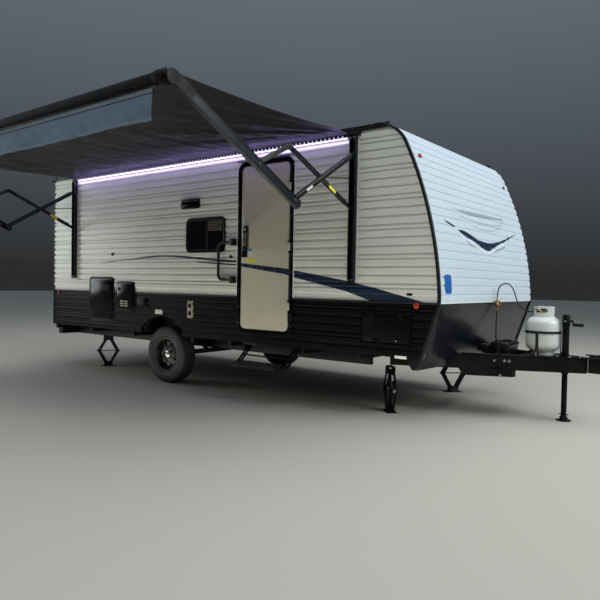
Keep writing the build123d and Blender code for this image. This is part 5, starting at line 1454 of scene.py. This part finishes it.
# --------------------------------------------------------------- regulator
m = Mesher().use("brass")
cy0 = Vector((-0.6650, 0.036, 1.070))
m.lathe([(0.0, 0.000), (0.012, 0.000), (0.014, 0.004), (0.026, 0.007), (0.0300, 0.011), (0.0300, 0.018), (0.0315, 0.019),
         (0.0315, 0.022), (0.0300, 0.023), (0.0300, 0.034), (0.024, 0.039), (0.0, 0.040)], cy0, (0, 1, 0), 36)
for k in range(6):
    t = math.pi / 3 * k
    m.bolt(cy0 + Vector((math.cos(t) * 0.0265, 0.008, math.sin(t) * 0.0265)), (0, -1, 0), 0.0028, 0.0025, washer=False)
m.slab(lambda u, v, d: (u, 0.042 + d, v), rr(-0.673, 1.070, 0.027, 0.066, 0.006, 3), 0.0, 0.027, 0.002)
for z, k in ((1.100, 1), (1.040, -1)):
    m.bolt((-0.673, 0.056, z - 0.003 * k), (0, 0, k), 0.0098, 0.013, washer=False)
    m.lathe([(0.0085, 0.0), (0.0085, 0.018), (0.0072, 0.0265)], (-0.673, 0.056, z - 0.002 * k), (0, 0, k), 18)
m.use("zinc").slab(lambda u, v, d: (u, 0.045 + d, v), [(-0.712, 1.056), (-0.672, 1.056), (-0.672, 1.092), (-0.712, 1.092)],
                   0.0, 0.022)
m.use("clear").lathe([(0.0, -0.0035), (0.010, -0.003), (0.012, 0.0), (0.012, 0.001)], cy0, (0, 1, 0), 20)
m.make("regulator_body", slot="brass", smooth=35, replaces=("gas_regulator",))
# crimped ferrules where the hoses leave
m = Mesher().use("brass")
for p, axis in (((-0.673, 0.056, 1.1235), (0, 0, 1)), ((-0.673, 0.056, 1.0165), (0, 0, -1)), ((-0.673, 0.056, 0.6005), (0, 0, 1))):
    m.lathe([(0.0068, 0.0), (0.0082, 0.001), (0.0082, 0.006), (0.0074, 0.008), (0.0082, 0.010), (0.0082, 0.017), (0.0068, 0.019)],
            p, axis, 18)
m.lathe([(0.0068, 0.0), (0.0082, 0.001), (0.0082, 0.006), (0.0074, 0.008), (0.0082, 0.010), (0.0082, 0.015), (0.0068, 0.017)],
        (-0.267, 0.0, 1.003), (-1, 0, 0), 18)
m.make("hose_ferrules", slot="brass", smooth=35)

# ---------------------------------------------------------- tongue details
TA = math.radians(25)


def B(s, t, n, z):
    """Point on a tongue beam: t along it from the apex, n out of its middle plane."""
    return Vector((0.180 - t * math.cos(TA) + n * math.sin(TA), s * (t * math.sin(TA) + n * math.cos(TA)), z))


def beam_box(m, s, t0, t1, n0, n1, z0, z1):
    m.loft([[B(s, t, n, z) for t, n in ((t0, n0), (t1, n0), (t1, n1), (t0, n1))] for z in (z0, z1)])


m = Mesher().use("frame_steel")
out_r = (B(-1, 0, 1, 0) - B(-1, 0, 0, 0)).normalized()
beam_box(m, -1, 0.735, 0.760, 0.026, 0.0305, 0.398, 0.601)
beam_box(m, -1, 0.735, 0.760, -0.010, 0.0305, 0.5955, 0.6005)
beam_box(m, -1, 0.655, 0.815, 0.026, 0.0300, 0.520, 0.575)
beam_box(m, -1, 0.640, 1.070, 0.026, 0.0290, 0.396, 0.404)
m.lathe([(0.009, 0), (0.009, 0.016), (0.006, 0.020)], B(-1, 0.748, 0.010, 0.600), (0, 0, 1), 16)
for s in (-1, 1):                                                        # gussets and jack plate welds
    beam_box(m, s, 0.030, 0.110, -0.024, 0.024, 0.5950, 0.6040)
    beam_box(m, s, 0.90, 0.94, 0.026, 0.0300, 0.470, 0.585)
m.use("zinc")
for t, z, r in ((0.711, 0.547, 0.0100), (0.669, 0.545, 0.0100), (0.803, 0.545, 0.0075), (0.748, 0.410, 0.0085)):
    m.bolt(B(-1, t, 0.0298, z), out_r, r, 0.009)
for x, y in ((-0.055, -0.080), (-0.055, 0.080), (0.055, -0.080), (0.055, 0.080)):
    m.bolt((x, y, 0.6045), (0, 0, 1), 0.010, 0.008)
m.make("tongue_brackets", slot="frame_black", smooth=35, bevel=0.0008)

# wiring in split sleeve along the right beam
m = Mesher().use("hose")
pts = []
for i in range(40):
    t = 0.30 + 0.80 * i / 39
    pts.append(B(-1, t, -0.012 + 0.004 * math.sin(i * 0.9), 0.6005 + 0.0015 * math.sin(i * 1.7)))
m.pipe(pts, 0.0055, 8)
m.make("tongue_wiring_sleeve", slot="hose_rubber", smooth=60)

# welds
m = Mesher().use("frame_steel")
def bead(m, p, q, r=0.0035, n=None):
    p, q = Vector(p), Vector(q)
    n = n or max(4, int((q - p).length / 0.006))
    loops = []
    t = (q - p).normalized()
    a = t.orthogonal().normalized()
    b = t.cross(a)
    for i in range(n + 1):
        rad = r * (0.8 + 0.35 * (i % 2))
        c = p.lerp(q, i / n)
        loops.append([c + (a * math.cos(w) + b * math.sin(w)) * rad for w in (math.pi / 3 * k for k in range(6))])
    m.loft(loops)


for s in (-1, 1):
    bead(m, B(s, 0.10, 0.026, 0.5955), B(s, 0.02, 0.026, 0.5955))
    bead(m, (-0.080, s * 0.108, 0.5955), (0.060, s * 0.108, 0.5955))
    bead(m, B(s, 0.36, -0.026, 0.5955), B(s, 0.52, -0.026, 0.5955))
    for x in (-6.615, -5.75, -4.85, -3.75, -2.70):
        bead(m, (x - 0.026, s * 0.772, 0.510), (x - 0.026, s * 0.772, 0.590))
        bead(m, (x + 0.026, s * 0.772, 0.510), (x + 0.026, s * 0.772, 0.590))
bead(m, (0.100, -0.072, 0.6055), (0.100, 0.072, 0.6055))
m.make("weld_beads", slot="frame_black", smooth=60)

# jack: collars, gear housing, knob of the crank
m = Mesher().use("frame_steel")
m.lathe([(0.0315, 0.0), (0.0400, 0.001), (0.0400, 0.014), (0.0315, 0.018)], (0, 0, 0.604), (0, 0, 1), 40, True)
m.lathe([(0.0312, 0.0), (0.0335, 0.001), (0.0335, 0.010), (0.0312, 0.011)], (0, 0, 0.441), (0, 0, 1), 40, True)
m.lathe([(0.0312, 0.0), (0.0350, 0.002), (0.0350, 0.095), (0.0320, 0.103), (0.020, 0.108), (0.0, 0.109), (0.0, 0.1065),
         (0.0312, 0.1055)], (0, 0, 0.880), (0, 0, 1), 40, True)
m.use("plastic").lathe([(0.010, 0.0), (0.0145, 0.004), (0.0152, 0.012), (0.0148, 0.070), (0.0152, 0.078), (0.0120, 0.086)],
                       (0.064, 0, 0.897), (1, 0, 0), 28)
m.use("zinc").bolt((0.068, 0, 0.930), (1, 0, 0), 0.008, 0.007)
m.bolt((0, 0.0345, 0.930), (0, 1, 0), 0.006, 0.006)
m.bolt((0, -0.0345, 0.930), (0, -1, 0), 0.006, 0.006)
m.make("jack_housing", slot="frame_black", smooth=35)
m = Mesher().use("frame_steel")
m.lathe([(0.0255, 0.0), (0.036, 0.001), (0.0345, 0.016), (0.028, 0.022), (0.0255, 0.022)], (0, 0, 0.0215), (0, 0, 1), 36)
m.rod((-0.044, 0, 0.060), (0.044, 0, 0.060), 0.0045, 12)
m.make("jack_foot_collar", body="jack_leg", slot="galvanised", smooth=35)

# coupler: latch, lever pin, lock hole rim
m = Mesher().use("zinc")
m.rod((0.262, -0.020, 0.628), (0.262, 0.020, 0.628), 0.0045, 12)
m.bolt((0.140, -0.045, 0.604), (0, 0, 1), 0.009, 0.008)
m.bolt((0.140, 0.045, 0.604), (0, 0, 1), 0.009, 0.008)
m.lathe([(0.0170, 0.0), (0.0200, 0.001), (0.0200, 0.006), (0.0170, 0.008)], (0.300, 0, 0.604), (0, 0, 1), 28)
m.use("frame_steel")
m.loft([[(x, y, z) for y, z in ((-0.036 + q, 0.604), (0.036 - q, 0.604), (0.030 - q, 0.612), (-0.030 + q, 0.612))]
        for x, q in ((0.205, 0.0), (0.285, 0.004), (0.325, 0.014))])
m.make("coupler_latch", slot="galvanised", smooth=35, bevel=0.0008)

# --------------------------------------------- stabilisers, step, bumper
D45 = 0.70710678
m = Mesher()
for fx, fy, ux, uy in ((-1.422, -0.746, -D45, D45), (-1.422, 0.746, -D45, -D45), (-6.035, -0.746, D45, D45),
                       (-6.035, 0.746, D45, -D45)):
    uv, c = Vector((ux, uy, 0)), Vector((fx, fy, 0.2205))
    m.use("zinc").rod(c - uv * 0.160, c + uv * 0.160, 0.0065, 14)
    for k in (-1, 1):
        m.bolt(c + uv * (0.150 * k), uv * k, 0.0105, 0.014)
    for i in range(34):                                                   # thread
        p = c + uv * (-0.100 + i * 0.006)
        m.lathe([(0.0064, 0.0), (0.0076, 0.0015), (0.0064, 0.003)], p, uv, 10)
    m.use("frame_steel")
    wv_ = Vector((uv.y, -uv.x, 0))
    for q in (1, -1):
        for z_a, z_b in ((0.395, 0.2205), (0.046, 0.2205)):
            pa = Vector((fx, fy, z_a)) + uv * (q * 0.030)
            pb_ = Vector((fx, fy, z_b)) + uv * (q * 0.1277)
            tt = (pb_ - pa).normalized()
            nn = tt.cross(wv_).normalized() * 0.0165
            for d0, d1 in ((0.0242, 0.0325), (-0.0325, -0.0242)):
                m.loft([[c_ + wv_ * d for c_ in (pa + nn, pb_ + nn, pb_ - nn, pa - nn)] for d in (d0, d1)])
    for i in (-1, 1):
        for j in (-1, 1):
            m.bolt((fx + i * 0.040, fy + j * 0.040, 0.010), (0, 0, 1), 0.006, 0.004)
c, uv = Vector((-1.422, -0.746, 0)), Vector((D45, -D45, 0))
nv = (uv * 0.8725 + Vector((0, 0, 0.4885)))
tv2 = (uv * 0.4885 - Vector((0, 0, 0.8725)))
wv = Vector((D45, D45, 0))
pc = c + uv * 0.0665 + Vector((0, 0, 0.330)) + nv * 0.0175
m.use("pale")
m.loft([[pc + tv2 * a + wv * b + nv * d for a, b in ((-0.028, -0.009), (0.028, -0.009), (0.028, 0.009), (-0.028, 0.009))]
        for d in (-0.001, 0.0008)])
m.make("stabiliser_screws", slot="galvanised", smooth=35)

m = Mesher().use("rubber")
for k in range(5):
    y = -1.432 + 0.042 * k
    m.slab(lambda u, v, d: (u, v, 0.409 + d), rr(-2.613, y, 0.560, 0.026, 0.004, 3), -0.0005, 0.0016, 0.0005)
m.use("frame_steel")
m.box(-2.913, -2.313, -1.4585, -1.4540, 0.372, 0.408)
m.make("step_grip_strips", body="step_tread", slot="black_plastic", smooth=35, bevel=0.0006)

m = Mesher().use("plastic")
for y in (-1.0605, 1.0605):
    s = 1 if y > 0 else -1
    m.loft([[(u, y + s * d, v) for u, v in rr(-6.745, 0.495, w, w, 0.008, 4)] for d, w in
            ((0.0, 0.100), (0.006, 0.100), (0.010, 0.092))])
m.use("zinc")
for y in (-0.8, 0.8):
    for dz in (0.470, 0.520):
        m.bolt((-6.7955, y, dz), (-1, 0, 0), 0.008, 0.006)
m.make("bumper_caps", slot="black_plastic", smooth=35)

# leaf springs: leaves, clips and U bolts over the solid
m = Mesher().use("frame_steel")
for s in (-1, 1):
    y = s * 0.800
    for k, half in enumerate((0.315, 0.250, 0.180, 0.110)):
        loops = []
        for i in range(17):
            x = -half + 2 * half * i / 16
            z = 0.418 - 0.034 * (1 - (x / 0.33) ** 2) - 0.0075 * k - 0.008
            loops.append([(WX + x, y + yy, z + zz) for yy, zz in ((-0.0228, 0.0), (0.0228, 0.0), (0.0228, -0.0065), (-0.0228, -0.0065))])
        m.loft(loops)
    for dx in (-0.035, 0.035):
        m.pipe([(WX + dx, y - 0.029, 0.318), (WX + dx, y - 0.029, 0.400), (WX + dx, y - 0.020, 0.4085), (WX + dx, y + 0.020, 0.4085),
                (WX + dx, y + 0.029, 0.400), (WX + dx, y + 0.029, 0.318)], 0.0055, 10)
    m.use("zinc")
    for dx in (-0.33, 0.33):
        m.bolt((WX + dx, y + 0.0245, 0.412), (0, 1, 0), 0.009, 0.009)
        m.bolt((WX + dx, y - 0.0245, 0.412), (0, -1, 0), 0.009, 0.009)
    m.use("frame_steel")
m.make("leaf_springs", slot="frame_black", smooth=35)

# belly sheet between the rails, in panels with seams between them
m = Mesher().use("belly")
for x0, x1 in ((-6.58, -5.78), (-5.72, -4.88), (-4.82, -3.78), (-3.72, -2.73), (-2.67, -1.66)):
    m.loft([[(x, y, z) for y, z in ((-0.770, 0.5905), (-0.40, 0.5875), (0.0, 0.5860), (0.40, 0.5875), (0.770, 0.5905),
                                    (0.770, 0.5935), (-0.770, 0.5935))] for x in (x0, (x0 + x1) / 2, x1)])
m.make("belly_sheets", slot="black_plastic", smooth=30)


# ------------------------------------------------------------------ awning
A_, B_, P_, E_ = (-1.2648, 2.4349), (-1.2671, 1.9354), (-1.7470, 2.1465), (-2.1731, 1.8916)
F_, M_, R_ = (-2.1771, 2.3356), (-2.6030, 2.1100), (-3.4297, 2.5302)
ENDS = ((1, -1.572), (-1, -6.121))

dress("awning_upper_links", "slate", 0.0012)
dress("awning_lower_links", "arm_black", 0.0012)
dress("awning_short_links", "arm_grey", 0.0012)
dress("awning_main_arms", "arm_green", 0.0015)
dress("awning_roller", "arm_black", 0.001)


def lips(m, s, x0, p, q, w, d0, d1, lip=0.0035, trim_=0.03):
    """The two flanges of a channel along a link from p to q, on its outer face."""
    p, q = Vector(p), Vector(q)
    t = (q - p).normalized()
    n = Vector((-t.y, t.x))
    for k in (-1, 1):
        a = p + t * trim_ + n * (k * (w / 2 - lip))
        b = q - t * trim_ + n * (k * (w / 2 - lip))
        quad = [a, b, b + n * (k * lip), a + n * (k * lip)]
        m.loft([[(x0 + s * d, v.x, v.y) for v in quad] for d in (d0, d1)])


def pivot(m, s, x0, p, d, r=0.011, h=0.006):
    m.bolt((x0 + s * d, p[0], p[1]), (s, 0, 0), r, h)


def strip(m, s, x0, p, q, n0, n1, d0, d1, t0=0.0, t1=0.0):
    """Flat bar along a link: n0..n1 across it, d0..d1 out of its plane, cut back by t0 and t1 at the ends."""
    p, q = Vector(p), Vector(q)
    t = (q - p).normalized()
    n = Vector((-t.y, t.x))
    a, b = p + t * t0, q - t * t1
    quad = [a + n * n0, b + n * n0, b + n * n1, a + n * n1]
    m.loft([[(x0 + s * d, v.x, v.y) for v in quad] for d in (d0, d1)])


m = Mesher()
for s, x0 in ENDS:
    m.use("slate")
    for n0, n1 in ((-0.025, -0.0165), (0.0165, 0.025)):
        strip(m, s, x0, A_, E_, n0, n1, 0.0120, 0.0190, 0.050, -0.020)
    for n0, n1 in ((-0.025, -0.0215), (0.0215, 0.025)):
        strip(m, s, x0, A_, E_, n0, n1, 0.0180, 0.0245, 0.050, -0.020)
    m.use("arm_black")
    strip(m, s, x0, A_, E_, -0.0222, 0.0222, 0.0185, 0.0196, 0.052, -0.018)
    m.use("arm_grey")
    for p in (A_, P_):
        pivot(m, s, x0, p, 0.0192, 0.010, 0.005)
m.make("awning_upper_channel", body="awning_upper_links", slot="awning_black", smooth=35, bevel=0.0006)
m = Mesher()
for s, x0 in ENDS:
    m.use("arm_black")
    for n0, n1 in ((-0.022, -0.0165), (0.0165, 0.022)):
        strip(m, s, x0, B_, F_, n0, n1, -0.0190, -0.0075, 0.090, 0.000)
    for n0, n1 in ((-0.022, -0.0190), (0.0190, 0.022)):
        strip(m, s, x0, B_, F_, n0, n1, -0.0230, -0.0185, 0.090, 0.000)
m.make("awning_lower_channel", body="awning_lower_links", slot="awning_black", smooth=35, bevel=0.0006)
m = Mesher()
for s, x0 in ENDS:
    m.use("arm_green")
    strip(m, s, x0, E_, R_, -0.0300, 0.0440, 0.0595, 0.0645, -0.056, -0.034)
    for n0, n1, d1_ in ((-0.0300, -0.0262, 0.0690), (0.0400, 0.0440, 0.0690)):
        strip(m, s, x0, E_, R_, n0, n1, 0.0330, d1_, -0.056, 0.040)
    for n0, n1 in ((-0.0160, -0.0110), (0.0250, 0.0300)):
        strip(m, s, x0, E_, R_, n0, n1, 0.0640, 0.0668, 0.060, 0.120)
    strip(m, s, x0, E_, R_, -0.0300, 0.0440, 0.0330, 0.0600, -0.058, 1.3534 + 0.1094)
    m.use("plastic")
    m.lathe([(0.0, 0.0600), (0.052, 0.0600), (0.055, 0.0620), (0.055, 0.0680), (0.050, 0.0725), (0.028, 0.0745), (0.0, 0.0750)],
            (x0, R_[0] - 0.010, R_[1] - 0.014), (s, 0, 0), 40)
    strip(m, s, x0, E_, R_, -0.0360, 0.0520, 0.0590, 0.0740, 1.225, 0.0)
    m.use("arm_grey")
    for p in (E_, M_):
        pivot(m, s, x0, p, 0.0640)
m.make("awning_arm_channel", body="awning_main_arms", slot="awning_black", smooth=35, bevel=0.0006)

# painted highlight: a bright metal strip along the upper links' top edge; and blank plates on the links
m = Mesher()
for s, x0 in ENDS:
    p, q = Vector(A_), Vector(E_)
    t = (q - p).normalized()
    n = Vector((-t.y, t.x))
    if n.y < 0:
        n = -n
    a, b = p + t * 0.055 + n * 0.0060, q - t * 0.03 + n * 0.0060
    # bright strip that paints the highlight along the link's edge
    m.use("alu").loft([[(x0 + s * d, v.x, v.y) for v in (a, b, b + n * 0.0035, a + n * 0.0035)] for d in (0.0192, 0.0206)])
    c = p.lerp(q, 0.74)
    c = c - n * 0.009
    quad = [c - t * 0.045 - n * 0.010, c + t * 0.045 - n * 0.010, c + t * 0.045 + n * 0.010, c - t * 0.045 + n * 0.010]
    m.use("pale").loft([[(x0 + s * d, v.x, v.y) for v in quad] for d in (0.0192, 0.0204)])
    quad = [c - t * 0.045 + n * 0.010, c + t * 0.045 + n * 0.010, c + t * 0.045 + n * 0.014, c - t * 0.045 + n * 0.014]
    m.use("amber").loft([[(x0 + s * d, v.x, v.y) for v in quad] for d in (0.0192, 0.0204)])
m.make("awning_upper_plates_and_painted_highlight", body="awning_upper_links", smooth=35)
m = Mesher().use("yellow")
for s, x0 in ENDS:
    p, q = Vector(B_), Vector(F_)
    t = (q - p).normalized()
    n = Vector((-t.y, t.x))
    c = p.lerp(q, 0.33)
    quad = [c - t * 0.055 - n * 0.014, c + t * 0.055 - n * 0.014, c + t * 0.055 + n * 0.014, c - t * 0.055 + n * 0.014]
    for d0, d1 in ((-0.0188, -0.0198), (-0.0072, -0.0062)):
        m.loft([[(x0 + s * d, v.x, v.y) for v in quad] for d in (d0, d1)])
m.make("awning_lower_plates", body="awning_lower_links")

# gas struts between the rails and the crossing pins
GY, GZs = -1.262, 2.210
for s, x0 in ENDS:
    m = Mesher().use("gloss_black")
    xs = x0 - s * 0.030                                    # beside the links, on the body's middle side
    g, p = Vector((xs, GY, GZs)), Vector((xs, P_[0], P_[1]))
    t = (p - g).normalized()
    L = (p - g).length
    prof = [(0.0030, 0.004), (0.0055, 0.008)] + [(0.0055, 0.008 + L * 0.58 * i / 8) for i in range(1, 9)]
    prof += [(0.0040, 0.012 + L * 0.58), (0.0028, 0.014 + L * 0.58)] + [(0.0028, L * (0.62 + 0.36 * i / 6)) for i in range(7)]
    m.lathe(prof, g, t, 14)
    m.use("zinc")
    m.lathe([(0.0055, -0.004), (0.0055, 0.004)], g, (1, 0, 0), 14)
    o = m.make("awning_strut_front" if s > 0 else "awning_strut_rear", body=None, smooth=40)
    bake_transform(o)
m = Mesher().use("zinc")
for s, x0 in ENDS:
    m.rod((x0 - s * 0.0375, GY, GZs), (x0 - s * 0.0240, GY, GZs), 0.0040, 12)
    for z in (1.275, 2.575):
        for k in (-1, 1):
            m.bolt((x0 + k * 0.020, -1.2745, z), (0, -1, 0), 0.006, 0.005)
m.use("plastic")
for s, x0 in ENDS:
    m.slab(lambda u, v, d: (u, -1.2745 - d, v), rr(x0, 1.262, 0.058, 0.020, 0.004, 3), -0.010, 0.004, 0.001)
m.make("awning_rail_fittings", slot="galvanised", smooth=35)

# fabric rail with its bead, and the light strip under it
m = Mesher().use("arm_black")
m.loft([[(x, y, z) for y, z in ((-1.2150, 2.5990), (-1.2430, 2.5990), (-1.2465, 2.6030), (-1.2465, 2.6110), (-1.2430, 2.6125),
                                (-1.2430, 2.6240), (-1.2465, 2.6255), (-1.2465, 2.6330), (-1.2430, 2.6370), (-1.2150, 2.6370))]
        for x in (-6.1835, -1.5095)])
m.make("awning_fabric_rail", slot="awning_black", smooth=30, bevel=0.0006)
m = Mesher().use("alu")
m.loft([[(x, y, z) for y, z in ((-1.2240, 2.5985), (-1.2240, 2.5800), (-1.2270, 2.5780), (-1.2270, 2.5960), (-1.2360, 2.5960),
                                (-1.2360, 2.5985))] for x in (-6.080, -1.640)])
m.make("light_channel", slot="galvanised")
# glowing band on the siding under the strip: a painted wash of the strip's light, not a lamp
m = Mesher().use("led_glow_and_painted_wash")
m.loft([[(x, y, z) for y, z in ((-1.2165, 2.5975), (-1.2165, 2.5300), (-1.2180, 2.5290), (-1.2200, 2.5975))]
        for x in (-6.075, -1.650)])
m.make("painted_light_wash_band", slot="galvanised", smooth=30)
m = Mesher().use("led")
m.rod((-6.070, -1.2315, 2.5890), (-1.660, -1.2315, 2.5890), 0.0045, 10)
m.use("led_glow_and_painted_wash")
for i in range(88):                                        # lamp lenses along the rail's lower lip
    x = -6.050 + 0.05 * i
    m.box(x - 0.005, x + 0.005, -1.2478, -1.2440, 2.5985, 2.6125)
m.make("light_strip", slot="galvanised", smooth=60)

# canopy: one continuous sheet, stretched from the rail to the roller
CX0, CX1 = -6.101, -1.592
CA, CB = Vector((-1.248, 2.618)), Vector((-3.432, 2.585))


def ease(a, b, t):
    t = min(1.0, max(0.0, (t - a) / (b - a)))
    return t * t * (3 - 2 * t)


def folds(x, v):
    """Height of the creases: fine gathers at the rail run out into long folds towards the roller."""
    h = 0.0
    for cx, sgn in ((CX1, -1), (CX0, 1)):
        dx, dy = (x - cx) * sgn, v * 2.184
        r = math.hypot(dx, dy) + 1e-6
        th = math.atan2(dy, dx + 1e-6)
        env = ease(0.05, 0.35, r) * (1 - ease(1.2, 2.4, r)) * ease(0.10, 0.5, th) * (1 - ease(1.25, 1.55, th))
        h += env * (0.0075 * math.sin(15.0 * th + 0.7) + 0.0030 * math.sin(37.0 * th + 2.1 * r))
    lean = x + 0.10 * v * math.sin(2.1 * x)
    h += 0.0034 * math.sin(110.0 * x) * ease(0.0, 0.012, v) * (1 - ease(0.03, 0.12, v))
    mid = ease(0.01, 0.08, v) * (1 - ease(0.35, 0.75, v))
    h += mid * (0.0016 * math.sin(31.0 * lean + 1.9 * v) + 0.0010 * math.sin(53.0 * lean + 0.8))
    far = ease(0.06, 0.25, v) * (1 - ease(0.70, 0.97, v))
    h += far * (0.0022 * math.sin(14.0 * lean + 1.2 * math.sin(2.3 * x)) + 0.0012 * math.sin(23.0 * lean + 2.0))
    return h


NU, NV = (360, 64)
verts, faces = [], []
for j in range(NV + 1):
    v = j / NV
    for i in range(NU + 1):
        u = i / NU
        x = CX0 + (CX1 - CX0) * u
        pull = 0.012 * math.sin(math.pi * v)                          # side hems drawn in a little
        x += pull * (1 - 2 * u) * (1 - ease(0.0, 0.12, min(u, 1 - u)) * 0.9)
        sag = 0.030 * math.sin(math.pi * v) ** 1.2 * (0.65 + 0.35 * math.sin(math.pi * u))
        p = CA.lerp(CB, v)
        verts.append((x, p.x, p.y - sag + folds(x, v) * ease(0.0, 0.03, v) * (1 - ease(0.985, 1.0, v))))
for j in range(NV):
    for i in range(NU):
        a = j * (NU + 1) + i
        faces.append((a, a + 1, a + NU + 2, a + NU + 1))
m = Mesher().use("canopy")
m.add(verts, faces)
canopy = m.make("canopy_sheet", slot="canopy_cloth", replaces=("awning_canopy",))
canopy.data.shade_smooth()
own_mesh(canopy)

# roller: wound turns of cloth, end castings, torsion heads
m = Mesher().use("canopy")
turn = []
for i in range(72):
    t = 2 * math.pi * i / 72
    turn.append((0.0515 + 0.0016 * (i / 72), t))
m.loft([[(x, R_[0] + r * math.cos(t), R_[1] + r * math.sin(t)) for r, t in turn] for x in (-6.101, -5.0, -3.85, -2.7, -1.592)])
m.make("roller_wound_cloth", body="awning_roller", slot="canopy_cloth", smooth=40)
m = Mesher().use("plastic")
for s, x in ((1, -1.562), (-1, -6.131)):
    m.lathe([(0.045, -0.100), (0.0565, -0.098), (0.0590, -0.090), (0.0590, -0.004), (0.0560, 0.006), (0.0440, 0.0125),
             (0.0300, 0.0150), (0.0, 0.0150)], (x, R_[0], R_[1]), (s, 0, 0), 40)
    for k in range(5):
        t = 2 * math.pi * k / 5
        m.lathe([(0.005, 0.0), (0.005, 0.003)], (x + s * 0.0155, R_[0] + 0.033 * math.cos(t), R_[1] + 0.033 * math.sin(t)),
                (s, 0, 0), 10)
m.make("roller_end_caps", body="awning_roller", slot="awning_black", smooth=35)

# valance: hangs from the roller, soft diagonal folds, pale band along its top
verts, faces, keys = [], [], []
VN, VM = 150, 24
for j in range(VM + 1):
    v = j / VM
    for i in range(VN + 1):
        u = i / VN
        x = CX0 + 0.060 + (CX1 - CX0 - 0.132) * u
        amp = ease(0.10, 1.0, v)
        d = amp * (0.0050 * math.sin(x * 8.5 + 3.0 * v) + 0.0065 * math.sin(x * 33.0 - 6.0 * v + 1.5 * math.sin(3.1 * x))
                   + 0.0012 * math.sin(x * 47.0 + 2.0 * v))
        z = 2.476 - 0.212 * v + 0.0025 * math.sin(x * 5.0) * v
        verts.append((x, -3.4730 - 0.006 * v + d, z))
for j in range(VM):
    for i in range(VN):
        a = j * (VN + 1) + i
        faces.append((a, a + 1, a + VN + 2, a + VN + 1))
        keys.append(1 if j < 4 or j >= 22 else 2 if j == 4 else 0)
m = Mesher().use("valance")
m.add(verts, faces)
m.use("valance_band")
m.use("seam")
m.m = keys
valance = m.make("valance_sheet", body="awning_roller", slot="valance_cloth", replaces=("awning_valance",))
valance.data.shade_smooth()

# rope hem along the valance's foot and the roller's slot insert
m = Mesher().use("valance")
m.pipe([(v[0], v[1], v[2]) for v in verts[VM * (VN + 1)::2][:76]], 0.0030, 8)
hem = m.make("valance_hem", body="awning_roller", slot="valance_cloth", smooth=60)
m = Mesher().use("arm_black")
m.loft([[(x, y, z) for y, z in ((-3.4640, 2.4700), (-3.4790, 2.4720), (-3.4805, 2.4820), (-3.4730, 2.4880), (-3.4620, 2.4880))]
        for x in (-6.070, -1.630)])
m.make("valance_bar", body="awning_roller", slot="awning_black", smooth=30)

# ------------------------------------------------------------------- stage
fl = bpy.data.meshes.new("floor")
fl.from_pydata([(-60, -60, 0), (60, -60, 0), (60, 60, 0), (-60, 60, 0)], [], [(0, 1, 2, 3)])
fm = Nodes("floor_pale")
pb = fm.new("ShaderNodeBsdfPrincipled")
pb.inputs["Base Color"].default_value = lin(178, 173, 160)
pb.inputs["Roughness"].default_value = 0.9
fm.link(pb.outputs["BSDF"], fm.out.inputs["Surface"])
fl.materials.append(fm.mat)
floor = bpy.data.objects.new("floor", fl)
SC.collection.objects.link(floor)

w = bpy.data.worlds.new("sky")
SC.world = w
w.use_nodes = True
bg = w.node_tree.nodes["Background"]
wt = w.node_tree
co = wt.nodes.new("ShaderNodeTexCoord").outputs["Generated"]
sp = wt.nodes.new("ShaderNodeSeparateXYZ")
wt.links.new(co, sp.inputs[0])
rmp = wt.nodes.new("ShaderNodeValToRGB")
rmp.color_ramp.elements[0].position, rmp.color_ramp.elements[0].color = 0.02, (0.080, 0.084, 0.086, 1.0)
rmp.color_ramp.elements[1].position, rmp.color_ramp.elements[1].color = 0.75, (0.66, 0.80, 0.98, 1.0)
wt.links.new(sp.outputs[2], rmp.inputs[0])
wt.links.new(rmp.outputs[0], bg.inputs["Color"])
bg.inputs["Strength"].default_value = 0.30


def area(name, loc, target, size, size_y, power, color):
    d = bpy.data.lights.new(name, "AREA")
    d.shape = "RECTANGLE"
    d.size, d.size_y = size, size_y
    d.energy = power
    d.color = color
    o = bpy.data.objects.new(name, d)
    o.location = loc
    o.rotation_euler = (Vector(target) - Vector(loc)).to_track_quat("-Z", "Y").to_euler()
    SC.collection.objects.link(o)
    o.visible_camera = False
    return o


area("sky_panel", (-1.0, -1.5, 11.0), (-3.0, -1.0, 1.0), 14, 12, 1050, (0.93, 0.97, 1.0))
area("front_panel", (7.6, 0.8, 6.0), (-0.8, 0.0, 1.4), 7, 5, 790, (0.88, 0.95, 1.0))
area("low_panel", (-3.6, -1.80, 0.030), (-3.6, -1.80, 1.0), 8.4, 0.6, 38, (1.0, 0.95, 0.82))
area("rear_low_panel", (-8.6, -3.0, 1.8), (-5.8, -1.8, 1.8), 1.2, 1.1, 18, (0.93, 0.97, 1.0))
area("canopy_glow", (-3.86, -1.30, 2.560), (-3.86, -2.30, 2.80), 4.4, 0.02, 2.2, (0.46, 0.34, 1.0))
area("side_panel", (-4.5, -11.0, 2.6), (-3.6, -1.2, 1.4), 10, 4, 9, (1.0, 0.93, 0.82))
area("rear_panel", (-13.0, -5.0, 4.0), (-6.0, -1.0, 1.6), 6, 5, 100, (0.93, 0.98, 1.0))
area("light_strip_glow", (-3.86, -1.262, 2.575), (-3.86, -1.222, 2.30), 4.4, 0.02, 1.3, (0.56, 0.46, 1.0))
area("light_strip_wash", (-3.86, -1.380, 2.600), (-3.86, -1.300, 2.10), 4.4, 0.05, 1.6, (0.30, 0.18, 1.0))

SC.view_settings.view_transform = "Standard"
SC.view_settings.look = "None"
SC.view_settings.exposure = 0.0

for name in ("Cube", "Light", "Camera"):
    o = bpy.data.objects.get(name)
    if o is not None and o is not cam:
        bpy.data.objects.remove(o)
